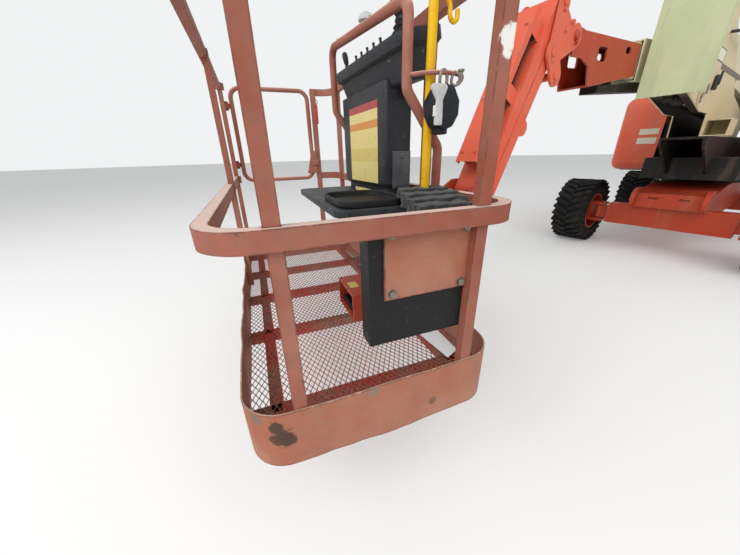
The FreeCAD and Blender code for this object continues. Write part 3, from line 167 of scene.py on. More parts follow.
def extrude(step):
    """Extrudes what is selected by a step in metres."""
    bpy.ops.mesh.extrude_region_move(TRANSFORM_OT_translate={"value": step})


def resize(scale, about):
    """Scales what is selected about a point."""
    bpy.ops.transform.resize(value=scale, center_override=about)


fresh()
bpy.ops.mesh.primitive_plane_add(size=160.0, location=(0, 0, 0))
ground = bpy.context.object
ground.name = "studio_floor"
pale = bpy.data.materials.new("matt_studio_floor")
pale.use_nodes = True
plug(pale.node_tree, pale.node_tree.nodes["Principled BSDF"],
     {"Base Color": colour("#E4E4E2"), "Roughness": 0.9, "Emission Color": colour("#FFFFFF"),
      "Emission Strength": 0.12})
ground.data.materials.append(pale)


# The materials' building blocks: a material on its CAD nodes, and the few nodes that all of them use.
# Noise is laid over an object's own place in metres, so it keeps its size on every piece.
def finish(name, nodes=()):
    """A new material, its tree and its shader, put on all the named CAD nodes."""
    made = bpy.data.materials.new(name)
    made.use_nodes = True
    for node in nodes:
        mesh = frame["nodes"][node].data
        mesh.materials.clear()
        mesh.materials.append(made)
    return made, made.node_tree, made.node_tree.nodes["Principled BSDF"]


def where(tree):
    """A point's place on its object, in metres."""
    return add(tree, "TexCoord").outputs["Object"]


def noise(tree, place, scale, detail, rough=0.5):
    """Fractal noise with about scale features to the metre."""
    sockets = {"Vector": place, "Scale": scale, "Detail": detail, "Roughness": rough}
    return add(tree, "TexNoise", sockets).outputs[0]


def ramp(tree, value, low, high, low_out=0.0, high_out=1.0):
    """A value from low to high mapped to the two outputs, and held there beyond them."""
    return add(tree, "MapRange", {0: value, 1: low, 2: high, 3: low_out, 4: high_out}).outputs[0]


def maths(tree, operation, *values):
    """The result of an operation on one to three values."""
    return add(tree, "Math", dict(enumerate(values)), operation=operation).outputs[0]


def blend(tree, share, first, second):
    """A share of the second colour over the first, each a hex or another node's output."""
    first, second = [colour(one) if isinstance(one, str) else one for one in (first, second)]
    return add(tree, "Mix", {0: share, 6: first, 7: second}, data_type="RGBA").outputs[2]


def relief(tree, height, strength, depth):
    """A bump of the surface, its depth in metres."""
    return add(tree, "Bump", {"Height": height, "Strength": strength, "Distance": depth}).outputs[0]


def grained(name, scale, dark_hex, pale_hex, sockets):
    """A plain material in two tones of fine noise with a bump of the same noise."""
    made, tree, shader = finish(name)
    grain = noise(tree, where(tree), scale, 4.0)
    plug(tree, shader, {"Base Color": blend(tree, grain, dark_hex, pale_hex),
                        "Normal": relief(tree, grain, 0.2, 0.0006), **sockets})
    return made


# The enamels, sprayed over steel that weather has dulled: orange on the chassis; on the jib and hoods the
# same orange painted lighter, as painted sunlight; bleached on the platform; cream on booms and housing;
# black underneath.
def enamel(name, nodes, fresh_hex, faded_hex, chip_hex, rust_share, edge=0.006, gloss=0.42, bleach=None,
           chips_at=0.735, freckled=0.07, marks=()):
    """Sprayed enamel: two tones in 0.4 m clouds, streaks of dust, chips of 6 to 20 mm and worn edges.

    Where a bleach is given, faces that look up have faded to it. A mark is a frayed patch of another
    colour: its place, its reach in metres and its hex.
    """
    made, tree, shader = finish(name, nodes)
    place = where(tree)
    tone = blend(tree, ramp(tree, noise(tree, place, 2.4, 5.0, 0.62), 0.36, 0.64), fresh_hex, faded_hex)
    tall = add(tree, "Mapping", {"Vector": place, "Scale": (14.0, 14.0, 1.6)}).outputs[0]
    tone = blend(tree, ramp(tree, noise(tree, tall, 1.0, 6.0), 0.52, 0.78, 0.0, 0.28), tone, "#8F7765")
    grit = noise(tree, place, 46.0, 7.0, 0.7)
    tone = blend(tree, ramp(tree, grit, 0.45, 0.68, 0.0, freckled), tone, chip_hex)
    normal = add(tree, "NewGeometry").outputs["Normal"]
    if bleach:
        up = add(tree, "SeparateXYZ", {0: normal}).outputs[2]
        tone = blend(tree, ramp(tree, up, 0.35, 0.95, 0.0, 0.8), tone, bleach)
    softened = add(tree, "Bevel", {"Radius": edge}, samples=4).outputs[0]
    facing = add(tree, "VectorMath", {0: softened, 1: normal}, operation="DOT_PRODUCT").outputs["Value"]
    worn = ramp(tree, facing, 0.985, 0.80, 0.0, 0.27)
    chips = ramp(tree, maths(tree, "ADD", grit, worn), chips_at, chips_at + 0.02)
    rusty = ramp(tree, noise(tree, place, 9.0, 4.0), 0.62 - rust_share * 0.3, 0.66 - rust_share * 0.3)
    tone = blend(tree, chips, tone, blend(tree, rusty, chip_hex, "#5B3325"))
    for spot, reach, code in marks:
        apart = add(tree, "VectorMath", {0: place, 1: spot}, operation="DISTANCE").outputs["Value"]
        frayed = maths(tree, "MULTIPLY_ADD", grit, reach * 2.2, apart)
        tone = blend(tree, ramp(tree, frayed, reach * 2.25, reach * 1.95), tone, code)
    skin = maths(tree, "ADD", maths(tree, "MULTIPLY", chips, -0.6), noise(tree, place, 190.0, 2.0))
    plug(tree, shader, {"Base Color": tone, "Normal": relief(tree, skin, 0.25, 0.0012),
                        "Roughness": ramp(tree, grit, 0.3, 0.7, gloss - 0.08, gloss + 0.14),
                        "Specular IOR Level": 0.32})
    return made


orange = enamel("satin_orange_enamel",
                ["chassis_frame", "front_axle", "rear_axle", "knuckle_left", "knuckle_right",
                 "rim_front_left", "rim_front_right", "rim_rear_left", "rim_rear_right", "counterweight",
                 "upright", "boom_nose", "rotator_head", "foot_switch"],
                "#B03410", "#A43B1C", "#A8988C", 0.3)
# The jib's copy of the chassis orange, painted lighter as painted sunlight.
painted_sunlit_orange = enamel("sunlit_orange_enamel",
                      ["jib_head", "jib_lower_arm", "jib_upper_arm", "jib_hose_guard"],
                      "#DD5334", "#DC6448", "#A8988C", 0.3)
# The hoods' gel coat: the chassis orange painted lighter, as painted sunlight on their faces.
enamel("orange_gel_coat_painted_sunlit", ["hood_left", "hood_right"], "#E0583A", "#E06C50", "#D8B8A8",
       0.1, 0.006, 0.36)
salmon = enamel("sun_bleached_orange_enamel",
                ["platform_support", "platform_floor", "guard_rails", "guard_rails_left",
                 "guard_rails_right", "gate", "console_guard"],
                "#8F4A37", "#A86E5D", "#7A6255", 0.7, 0.008, 0.62, "#DCC3B8", 0.69, 0.42,
                [(on_plat(0.638, 0.0, 0.870), 0.022, "#E4E2DC"),
                 (on_plat(0.632, 0.0, 0.845), 0.012, "#E4E2DC"),
                 (on_plat(0.141, 0.0, 0.060), 0.016, "#5A463A")])
kick_enamel = enamel("scraped_orange_enamel", ["storage_plate"],
                     "#9E553B", "#AD7B64", "#8A7060", 0.8, 0.010, 0.6, "#D8B4A0", 0.69, 0.36,
                     [(on_plat(0.089, 0.0, 0.020), 0.030, "#4A3428"),
                      (on_plat(0.075, 0.0, 0.055), 0.020, "#4A3428"),
                      (on_plat(0.030, 0.030, 0.080), 0.018, "#7A6456"),
                      (on_plat(0.330, 0.0, 0.085), 0.016, "#8A7466"),
                      (on_plat(0.520, 0.0, -0.020), 0.014, "#7A5444"),
                      (on_plat(0.451, 0.004, 0.388), 0.010, "#A02A22"),
                      (on_plat(0.495, 0.004, 0.378), 0.009, "#A02A22")])
cream = enamel("cream_enamel", ["tower_boom", "tower_link", "main_boom", "fly_boom"],
               "#CDCCA8", "#D8D0AE", "#9A8B72", 0.6, 0.004, 0.46)
enamel("greened_cream_enamel", ["tower_cover"], "#B4BF92", "#C2C8A0", "#8A8C72", 0.3, 0.004, 0.5)
housing_cream = enamel("sunlit_cream_enamel", ["tower_housing"], "#CDBF92", "#CFBE98", "#93836A",
                       0.6, 0.004, 0.46)
enamel("black_chassis_enamel",
       ["swing_bearing", "turntable_frame", "hydraulic_tank", "tower_cylinder_barrel",
        "main_cylinder_barrel", "jib_cylinder_barrel", "hose_tray"],
       "#0B0B0B", "#161513", "#3C3833", 0.4, 0.004, 0.55)

# Inside the housing, between its walls and up to the height of the boom's foot, the cream is painted
# near-black as painted shade.
tree = housing_cream.node_tree
shader = tree.nodes["Principled BSDF"]
spot = add(tree, "SeparateXYZ", {0: where(tree)})
off_middle = maths(tree, "ABSOLUTE", maths(tree, "SUBTRACT", spot.outputs[1], SWING_Y))
inside = ramp(tree, off_middle, 0.112, 0.108)
low_down = ramp(tree, spot.outputs[2], 1.72, 1.58)
painted = shader.inputs["Base Color"].links[0].from_socket
# Painted shade: near-black over the cream inside the housing.
painted_pocket_shade = maths(tree, "MULTIPLY", inside, low_down)
plug(tree, shader, {"Base Color": blend(tree, painted_pocket_shade, painted, "#15130F")})


# Cylinder rods and the tie rod: ground steel, hard chromed on the rods, with a thin film of oil and dust.
# The engine's stand-in block: rough cast iron with oil stains and a sand-cast grain of about 3 mm.
tree, shader = finish("hard_chromed_steel", ["tower_cylinder_rod", "main_cylinder_rod",
                                             "jib_cylinder_rod", "tie_rod"])[1:]
film = noise(tree, where(tree), 25.0, 5.0)
plug(tree, shader, {"Base Color": blend(tree, film, "#B9BBBE", "#8E8A84"), "Metallic": 1.0,
                    "Normal": relief(tree, film, 0.08, 0.0005),
                    "Roughness": ramp(tree, film, 0.35, 0.7, 0.16, 0.45)})
tree, shader = finish("oily_cast_iron", ["engine_block"])[1:]
place = where(tree)
stain = noise(tree, place, 6.0, 4.0)
plug(tree, shader, {"Base Color": blend(tree, stain, "#232426", "#4A443E"),
                    "Normal": relief(tree, noise(tree, place, 320.0, 2.0), 0.5, 0.002),
                    "Roughness": ramp(tree, stain, 0.4, 0.6, 0.45, 0.8)})


# The console's mouldings: rotation-moulded polyethylene in charcoal, with a fine orange-peel grain,
# scuffs that have turned pale, and dust in the grain.
def moulded(name, nodes, dark_hex, pale_hex, scuff_hex, grain=420.0, gloss=0.48):
    """Moulded plastic: a grain of about 2.5 mm, chalky patches of 50 mm and thin scuffs."""
    made, tree, shader = finish(name, nodes)
    place = where(tree)
    chalk = noise(tree, place, 11.0, 6.0, 0.65)
    tone = blend(tree, ramp(tree, chalk, 0.42, 0.72), dark_hex, pale_hex)
    drawn = add(tree, "Mapping", {"Vector": place, "Rotation": (0.4, 0.2, 0.5), "Scale": (60, 9, 60)})
    scuffs = ramp(tree, noise(tree, drawn.outputs[0], 1.4, 6.0), 0.66, 0.72, 0.0, 0.55)
    plug(tree, shader, {"Base Color": blend(tree, scuffs, tone, scuff_hex),
                        "Normal": relief(tree, noise(tree, place, grain, 2.0), 0.3, 0.0008),
                        "Roughness": ramp(tree, chalk, 0.3, 0.7, gloss - 0.05, gloss + 0.2),
                        "Specular IOR Level": 0.3})
    return made


charcoal = moulded("charcoal_polyethylene", ["console_base", "console_head"],
                   "#26282B", "#383A3D", "#77766F")
box_black = moulded("black_polyethylene", ["storage_box"], "#0E0E0F", "#1A1A1A", "#464544", 300.0)
tube_yellow = moulded("yellow_pvc", ["yellow_tube"], "#E6B400", "#DBA400", "#6E5A20", 200.0, 0.36)
block_silver = moulded("silver_grey_nylon", ["lifeline_reel"], "#12151B", "#1C2028", "#5A5E66", 260.0)


# The tyres: natural rubber on a 470 mm rim, filled with foam, with 28 slanted bars a side that meet
# in turn near the middle of the tread and run over the shoulder. The tread is dusty and scuffed.
rubber, tree, shader = finish("dusty_tyre_rubber")
place = where(tree)
mud = ramp(tree, noise(tree, place, 7.0, 8.0, 0.7), 0.48, 0.70, 0.0, 0.75)
plug(tree, shader, {"Base Color": blend(tree, mud, "#131313", "#3C3730"), "Roughness": 0.86,
                    "Normal": relief(tree, noise(tree, place, 160.0, 4.0), 0.4, 0.0015),
                    "Specular IOR Level": 0.25})


def wear(piece, material, body):
    """Gives a finished piece its material and its body."""
    piece.data.materials.clear()
    piece.data.materials.append(material)
    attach(piece, body)


def applied(piece):
    """Object mode, with the piece's place and modifiers applied to its mesh."""
    fresh()
    piece.select_set(True)
    bpy.context.view_layer.objects.active = piece
    bpy.ops.object.transform_apply(location=True, rotation=True, scale=True)
    for modifier in list(piece.modifiers):
        bpy.ops.object.modifier_apply(modifier=modifier.name)
    return piece


def join(pieces, name="joined"):
    """One object out of several."""
    fresh()
    for piece in pieces:
        piece.select_set(True)
    bpy.context.view_layer.objects.active = pieces[0]
    bpy.ops.object.join()
    pieces[0].name = name
    return pieces[0]


def rounded(piece, width, segments=2):
    """Bevels every edge of a piece and shades it smooth between sharp edges."""
    bevel = piece.modifiers.new("round", "BEVEL")
    bevel.width = width
    bevel.segments = segments
    bevel.limit_method = "ANGLE"
    applied(piece)
    bpy.ops.object.shade_smooth_by_angle(angle=math.radians(40))
    return piece


TYRE_HALF, RIM_R, CARCASS_R, CARCASS_BEVEL = 0.20, 0.235, 0.390, 0.055
BARS, BAR_OFF, BAR_R, BAR_SIZE, BAR_SLANT = 28, 0.092, 0.3974, (0.050, 0.200, 0.036), math.radians(24)
WHEELS = (("front_left", 1), ("front_right", -1), ("rear_left", 1), ("rear_right", -1))
fresh()
bpy.ops.mesh.primitive_plane_add(size=1.0, rotation=(math.radians(90), 0, math.radians(90)),
                                 location=(0, 0, (CARCASS_R + RIM_R) / 2))
carcass = bpy.context.object
carcass.scale = (2 * TYRE_HALF - 0.02, CARCASS_R - RIM_R, 1)
applied(carcass)
edit_all()
bpy.ops.mesh.bevel(offset=CARCASS_BEVEL, segments=4, affect="VERTICES")
bpy.ops.mesh.select_all(action="SELECT")
bpy.ops.mesh.spin(steps=80, angle=math.radians(360), center=(0, 0, 0), axis=(0, 1, 0))
bpy.ops.mesh.select_all(action="SELECT")
bpy.ops.mesh.remove_doubles(threshold=0.0001)
bpy.ops.mesh.normals_make_consistent(inside=False)
edit_done()

bars = []
for side in (-1, 1):
    fresh()
    bpy.ops.mesh.primitive_cube_add(size=1.0, location=(0, side * BAR_OFF, BAR_R))
    bar = bpy.context.object
    bar.scale = BAR_SIZE
    bar.rotation_euler = (0, 0, -side * BAR_SLANT)
    applied(bar)
    bpy.ops.object.mode_set(mode="EDIT")
    bpy.ops.mesh.select_all(action="DESELECT")
    edit_done()
    for face in bar.data.polygons:
        face.select = face.normal.y * side > 0.7
    bpy.ops.object.mode_set(mode="EDIT")
    extrude((0, side * 0.004, -0.018))
    extrude((0, side * 0.001, -0.075))
    resize((0.85, 1, 0.6), (0, side * 0.19, 0.33))
    bpy.ops.mesh.select_all(action="SELECT")
    bpy.ops.mesh.normals_make_consistent(inside=False)
    edit_done()
    rounded(bar, 0.006, 1)
    edit_all()
    turn = math.radians(360 / BARS)
    if side == 1:
        bpy.ops.transform.rotate(value=turn / 2, orient_axis="Y", center_override=(0, 0, 0))
    bpy.ops.mesh.spin(steps=BARS, angle=math.radians(360), dupli=True, center=(0, 0, 0), axis=(0, 1, 0))
    edit_done()
    bars.append(bar)
tread = join([carcass] + bars, "tyre_master")
bpy.ops.object.shade_smooth_by_angle(angle=math.radians(35))
for wheel, side in WHEELS:
    copy = tread.copy()
    copy.data = tread.data.copy()
    copy.name = "tyre_tread_" + wheel
    bpy.context.collection.objects.link(copy)
    copy.location = Vector(middle("tyre_" + wheel))
    copy.rotation_euler = (0, 0, 0 if side > 0 else math.radians(180))
    applied(copy)
    wear(copy, rubber, "wheel_" + wheel)
    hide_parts("tyre_" + wheel)
bpy.data.objects.remove(tread)


# Platform floor: expanded steel mesh, slit and drawn into 19 by 34 mm diamonds, welded on a frame of
# 40 mm square tubes. Both were dipped in the same orange, now trodden to brown along the strands.
def onto_platform(piece):
    """Moves a piece from the platform's own frame, its length along b, to its place on the machine."""
    piece.matrix_world = TO_MACHINE @ piece.matrix_world
    return applied(piece)


def block(low, high, width=0.002, segments=2):
    """A block between two corners with its edges rounded."""
    fresh()
    size = [high[i] - low[i] for i in range(3)]
    bpy.ops.mesh.primitive_cube_add(size=1.0, location=[(low[i] + high[i]) / 2 for i in range(3)])
    made = bpy.context.object
    made.scale = size
    applied(made)
    return rounded(made, min(width, min(size) * 0.45), segments) if width else made


trodden, tree, shader = finish("trodden_orange_steel")
place = where(tree)
tone = blend(tree, ramp(tree, noise(tree, place, 4.2, 6.0, 0.7), 0.38, 0.62), "#A63A2C", "#8A6A5A")
fine = noise(tree, place, 120.0, 5.0)
plug(tree, shader, {"Base Color": blend(tree, ramp(tree, fine, 0.52, 0.62, 0.0, 0.8), tone, "#55372C"),
                    "Normal": relief(tree, fine, 0.35, 0.001), "Roughness": 0.7})

fresh()
bpy.ops.mesh.primitive_grid_add(x_subdivisions=40, y_subdivisions=54, size=1.0,
                                location=(PLAT_A / 2, PLAT_B / 2, -0.004))
mesh_floor = bpy.context.object
mesh_floor.scale = (PLAT_A - 0.008, PLAT_B - 0.008, 1)
applied(mesh_floor)
mesh_floor.name = "floor_mesh"
edit_all()
bpy.ops.mesh.poke()
bpy.ops.mesh.tris_convert_to_quads(face_threshold=math.radians(180), shape_threshold=math.radians(180))
CORNER = 0.110
for corner_a, corner_b, sign_a, sign_b in ((CORNER, CORNER, -1, -1), (PLAT_A - CORNER, CORNER, 1, -1),
                                           (CORNER, PLAT_B - CORNER, -1, 1),
                                           (PLAT_A - CORNER, PLAT_B - CORNER, 1, 1)):
    for angle in (15, 45, 75):
        outward = Vector((sign_a * math.cos(math.radians(angle)), sign_b * math.sin(math.radians(angle)), 0))
        edge_point = Vector((corner_a, corner_b, 0)) + outward * (CORNER - 0.004)
        bpy.ops.mesh.select_all(action="SELECT")
        bpy.ops.mesh.bisect(plane_co=edge_point, plane_no=outward, clear_outer=True)
edit_done()
strands = mesh_floor.modifiers.new("strands", "WIREFRAME")
strands.thickness = 0.0042
strands.use_even_offset = False
onto_platform(mesh_floor)
wear(mesh_floor, trodden, "platform")

tubes = [block((0.006, b, -0.052), (PLAT_A - 0.006, b + 0.040, -0.012), 0.005)
         for b in (0.120, 0.549, 0.915, 1.281, 1.670)]
tubes += [block((a, 0.030, -0.052), (a + 0.040, PLAT_B - 0.030, -0.012), 0.005) for a in (0.060, 0.660)]
floor_tubes = onto_platform(join(tubes, "floor_tubes"))
wear(floor_tubes, trodden, "platform")
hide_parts("platform_floor")


# Bolts: zinc-plated M12 hexagon heads on washers, modelled once and copied to every place that the
# photograph shows one, with the same heads on the far side where the part is the same both ways.
zinc = grained("zinc_plated_steel", 60.0, "#9A958C", "#6F6257", {"Metallic": 0.9, "Roughness": 0.45})

fresh()
bpy.ops.mesh.primitive_cylinder_add(vertices=24, radius=0.0125, depth=0.003, location=(0, 0, 0.0010))
washer = bpy.context.object
rounded(washer, 0.0006, 1)
fresh()
bpy.ops.mesh.primitive_cylinder_add(vertices=6, radius=0.0108, depth=0.008, location=(0, 0, 0.0062))
head = bpy.context.object
rounded(head, 0.0012, 1)
bolt_master = join([washer, head], "bolt_master")


def bolts(name, places, body, material=None, size=1.0, platform=False):
    """Copies of the bolt, each at a point with the direction that its head faces, as one piece."""
    made = []
    for point, facing in places:
        one = bolt_master.copy()
        one.data = bolt_master.data.copy()
        bpy.context.collection.objects.link(one)
        one.scale = (size, size, size)
        one.rotation_euler = Vector(facing).to_track_quat("Z", "Y").to_euler()
        one.location = point
        made.append(applied(one))
    piece = join(made, name) if len(made) > 1 else made[0]
    piece.name = name
    if platform:
        onto_platform(piece)
    wear(piece, material or zinc, body)
    return piece


PLATE_OUT = 0.024
bolts("storage_plate_bolts", [((a, PLATE_OUT, c), (0, -1, 0)) for a, c in
                              ((0.394, 0.500), (0.596, 0.497), (0.395, 0.352), (0.594, 0.350))],
      "platform", size=0.95, platform=True)


# Console decals: printed vinyl on the pedestal, left blank, with a red and an orange band over yellow
# panels. They are 0.5 mm thick, dulled, and scratched down to the print's white ground.
def vinyl(name, top_hex, bands=()):
    """Vinyl in one colour, with lower bands of colour as (height in metres, hex) from the top down."""
    made, tree, shader = finish(name)
    place = where(tree)
    up = add(tree, "SeparateXYZ", {0: place}).outputs[2]
    tone = add(tree, "RGB").outputs[0]
    tone.default_value = colour(top_hex)
    for height, code in bands:
        tone = blend(tree, maths(tree, "LESS_THAN", up, height), tone, code)
    wipe = noise(tree, place, 34.0, 6.0, 0.7)
    lost = ramp(tree, wipe, 0.56, 0.74, 0.0, 0.5)
    plug(tree, shader, {"Base Color": blend(tree, lost, tone, "#8D8672"),
                        "Normal": relief(tree, wipe, 0.1, 0.0005), "Roughness": 0.5})
    return made


def panel(name, corners, thick, material, body, width=0.0004):
    """A thin flat sheet from its corners in turn, thickened towards its normal, with softened edges."""
    fresh()
    bpy.ops.mesh.primitive_plane_add(size=1.0)
    made = bpy.context.object
    for vertex, index in zip(made.data.vertices, (0, 1, 3, 2)):
        vertex.co = Vector(corners[index])
    made.name = name
    wall = made.modifiers.new("wall", "SOLIDIFY")
    wall.thickness = thick
    wall.offset = 1.0
    applied(made)
    rounded(made, width, 1)
    wear(made, material, body)
    return made


FLOOR_Z = 0.556
BANDS = [(FLOOR_Z + 0.822, "#DCC886"), (FLOOR_Z + 0.786, "#D08A3C"), (FLOOR_Z + 0.760, "#DCC97E"),
         (FLOOR_Z + 0.69, "#D3BC66"), (FLOOR_Z + 0.64, "#DCC97E")]
sheet_vinyl = vinyl("blank_instruction_vinyl", "#A8433F", BANDS)
SHEET_FAR, SHEET_NEAR = (0.5638, 0.828), (0.5814, 0.552)
panel("instruction_sheet", [on_plat(*SHEET_FAR, 0.560), on_plat(*SHEET_NEAR, 0.560),
                            on_plat(*SHEET_NEAR, 0.848), on_plat(*SHEET_FAR, 0.848)], 0.0008, sheet_vinyl,
      "platform")
small_vinyl = vinyl("blank_yellow_vinyl", "#DCC97E", [(FLOOR_Z + 0.50, "#CDB85E")])


# The socket outlet on the pedestal's end: a hinged lid in a frame with a catch, all weathered grey
# plastic, screwed on. The small blank decal and plate near it are printed vinyl and black plastic.
def onto(piece, name, material, body, platform=True):
    """Names a finished piece, moves it on to the platform if asked, and dresses it."""
    piece.name = name
    if platform:
        onto_platform(piece)
    wear(piece, material, body)
    return piece


grey_plastic = moulded("weathered_grey_plastic", [], "#4A4C50", "#66676A", "#9C9A94", 260.0, 0.5)
outlet_lid = block((0.622, 0.4865, 0.553), (0.682, 0.4945, 0.668), 0.003)
lid_frame = block((0.615, 0.4905, 0.545), (0.689, 0.4945, 0.676), 0.002)
catch = block((0.645, 0.483, 0.650), (0.659, 0.490, 0.664), 0.002)
onto(join([outlet_lid, lid_frame, catch]), "outlet_cover", grey_plastic, "platform")
panel("foot_label", [on_plat(0.5668, 0.790, 0.532), on_plat(0.5799, 0.588, 0.532),
                     on_plat(0.5799, 0.588, 0.470), on_plat(0.5668, 0.790, 0.470)][::-1], 0.0008,
      small_vinyl, "platform")
panel("head_end_plate", [on_plat(0.640, 0.4932, 0.845), on_plat(0.676, 0.4932, 0.845),
                         on_plat(0.676, 0.4932, 0.872), on_plat(0.640, 0.4932, 0.872)], 0.001, box_black,
      "platform")


# The control box: a rotation-moulded bowl under a lid with a turned rim, tilted towards the operator
# and standing on the pedestal. Its upright corners are rounded to 45 mm and the bowl tapers down.
def pick(piece, test, mode="EDGE"):
    """Edit mode with the edges or faces selected whose middle and direction pass a test."""
    fresh()
    piece.select_set(True)
    bpy.context.view_layer.objects.active = piece
    bpy.ops.object.mode_set(mode="EDIT")
    bpy.ops.mesh.select_mode(type=mode)
    bpy.ops.mesh.select_all(action="DESELECT")
    edit_done()
    if mode == "EDGE":
        for edge in piece.data.edges:
            ends = [piece.data.vertices[v].co for v in edge.vertices]
            edge.select = test((ends[0] + ends[1]) / 2, (ends[1] - ends[0]).normalized())
    else:
        for face in piece.data.polygons:
            face.select = test(face.center, face.normal)
    bpy.ops.object.mode_set(mode="EDIT")


def corners_rounded(piece, radius, segments=6, test=lambda at, along: abs(along.z) > 0.8):
    """Rounds a block's upright corners, or the edges that a test picks."""
    pick(piece, test)
    bpy.ops.mesh.bevel(offset=radius, segments=segments, affect="EDGES")
    edit_done()
    return piece


BOX_TILT, BOX_YAW = math.radians(-12.3), math.radians(4.84)
BOX_TO_PLATFORM = (Matrix.Translation((0.577, 0.360, 0.989)) @ Matrix.Rotation(BOX_YAW, 4, "Z")
                   @ Matrix.Rotation(BOX_TILT, 4, "Y"))
bowl = corners_rounded(block((0.006, 0.004, -0.124), (0.143, 0.551, -0.030), 0), 0.042)
pick(bowl, lambda at, normal: normal.z < -0.9, "FACE")
resize((0.86, 0.93, 1), (0.080, 0.278, -0.124))
edit_done()
rounded(bowl, 0.012, 4)
lid = corners_rounded(block((-0.008, -0.008, -0.036), (0.156, 0.563, -0.002), 0), 0.050)
pick(lid, lambda at, normal: normal.z > 0.9, "FACE")
bpy.ops.mesh.inset(thickness=0.010)
extrude((0, 0, -0.004))
edit_done()
rounded(lid, 0.003, 2)
seam = corners_rounded(block((-0.003, -0.003, -0.041), (0.151, 0.558, -0.034), 0), 0.047)
rounded(seam, 0.002, 1)
control_box = join([bowl, lid, seam])
control_box.matrix_world = BOX_TO_PLATFORM
applied(control_box)
onto(control_box, "control_box", charcoal, "platform")
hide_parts("console_head")


# The pedestal: a rotation-moulded column on a narrower foot, with its corners rounded, on a flat tray
# with softened edges that carries the trough and the cover.
column = corners_rounded(block((0.0, 0.0, 0.560), (0.114, 0.432, 0.897), 0), 0.018)
pick(column, lambda at, normal: normal.z < -0.9, "FACE")
extrude((0, 0, -0.018))
resize((0.86, 0.94, 1), (0.114, 0.216, 0.542))
extrude((0, 0, -0.026))
edit_done()
rounded(column, 0.004, 2)
column.matrix_world = Matrix.Translation((0.585, 0.494, 0)) @ Matrix.Rotation(math.radians(3.31), 4, "Z")
applied(column)
tray = corners_rounded(block((0.330, 0.270, 0.493), (0.7045, 0.970, 0.5175), 0), 0.040)
rounded(tray, 0.005, 3)
onto(join([column, tray]), "pedestal", charcoal, "platform")
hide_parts("console_base")


# The kick plate: a band of 4 mm sheet round the floor, bulged between its posts by years of knocks.
# It is rolled from a block with rounded corners, opened above and below, and dented by a cloud.
KICK_LOW, KICK_HIGH, KICK_CORNER = -0.081, 0.099, 0.110
band = corners_rounded(block((0, 0, KICK_LOW), (PLAT_A, PLAT_B, KICK_HIGH), 0), KICK_CORNER, 10)
pick(band, lambda at, normal: abs(normal.z) > 0.9, "FACE")
bpy.ops.mesh.delete(type="FACE")
bpy.ops.mesh.select_all(action="SELECT")
bpy.ops.mesh.subdivide(number_cuts=20)
edit_done()
walls = band.vertex_groups.new(name="walls")
for vertex in band.data.vertices:
    a, b = vertex.co.x, vertex.co.y
    from_corner = max(half - KICK_CORNER - abs(place - half)
                      for half, place in ((PLAT_A / 2, a), (PLAT_B / 2, b)))
    walls.add([vertex.index], max(0.0, min(1.0, from_corner / 0.12)), "REPLACE")
knocks = bpy.data.textures.new("knocks", "CLOUDS")
knocks.noise_scale = 0.16
dents = band.modifiers.new("dents", "DISPLACE")
dents.texture, dents.vertex_group = knocks, "walls"
dents.strength, dents.mid_level = 0.022, 0.30
sheet_wall = band.modifiers.new("sheet_wall", "SOLIDIFY")
sheet_wall.thickness, sheet_wall.offset = 0.004, -1.0
applied(band)
bpy.ops.object.shade_smooth_by_angle(angle=math.radians(35))
onto(band, "dented_kick_plate", kick_enamel, "platform")
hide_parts("kick_plate")


# Toggle switches in rubber boots, in two rows along the lid, and a joystick at each end that stands
# in a bellows: all turned pieces of black rubber and plastic, dulled by the sun.
boot_rubber = grained("boot_rubber", 70.0, "#151516", "#333335", {"Roughness": 0.6})


def turned(rings, place, sides=20, size=1.0):
    """A round piece drawn up from its base disc through rings of (radius, height)."""
    fresh()
    bpy.ops.mesh.primitive_circle_add(vertices=sides, radius=rings[0][0] * size, fill_type="NGON",
                                      location=(0, 0, rings[0][1] * size))
    made = bpy.context.object
    applied(made)
    edit_all()
    for (radius, height), (wider, higher) in zip(rings, rings[1:]):
        extrude((0, 0, (higher - height) * size))
        scale = wider / radius
        resize((scale, scale, 1), (0, 0, higher * size))
    bpy.ops.mesh.select_all(action="SELECT")
    bpy.ops.mesh.normals_make_consistent(inside=False)
    edit_done()
    made.location = place
    applied(made)
    bpy.ops.object.shade_smooth_by_angle(angle=math.radians(35))
    return made


TOGGLE = [(0.0125, 0), (0.0135, 0.004), (0.0095, 0.008), (0.0100, 0.011), (0.0060, 0.016), (0.0045, 0.020),
          (0.0042, 0.024), (0.0055, 0.027), (0.0040, 0.030)]
JOYSTICK = [(0.034, 0), (0.036, 0.006), (0.027, 0.012), (0.030, 0.018), (0.021, 0.025), (0.024, 0.031),
            (0.015, 0.038), (0.017, 0.044), (0.012, 0.052), (0.018, 0.062), (0.022, 0.105), (0.017, 0.128),
            (0.006, 0.134)]
levers = [turned(TOGGLE, (0.028 + 0.075 * row, 0.170 + 0.050 * n, -0.007))
          for row in range(2) for n in range(5)]
levers += [turned(JOYSTICK, (0.060, 0.088, -0.008), size=1.1),
           turned(JOYSTICK, (0.045, 0.505, -0.008), size=0.55)]
switches = join(levers)
switches.matrix_world = BOX_TO_PLATFORM
applied(switches)
onto(switches, "switches_and_joysticks", boot_rubber, "platform")


# The trough beside the pedestal's foot, in black moulded plastic, and the document box's canvas cover,
# which is rolled up and lies from the tray's near end across to the storage box.
def hollow(low, high, rim, depth, width, corner=0.0):
    """A block whose top is sunk inside its rim, with its upright corners rounded if asked."""
    made = block(low, high, 0)
    if corner:
        corners_rounded(made, corner)
    pick(made, lambda at, normal: normal.z > 0.9, "FACE")
    bpy.ops.mesh.inset(thickness=rim)
    extrude((0, 0, -depth))
    edit_done()
    return rounded(made, width, 3)


trough = hollow((0.352, 0.275, 0.5178), (0.580, 0.560, 0.5400), 0.009, 0.018, 0.004, 0.060)
onto(trough, "console_trough", box_black, "platform")

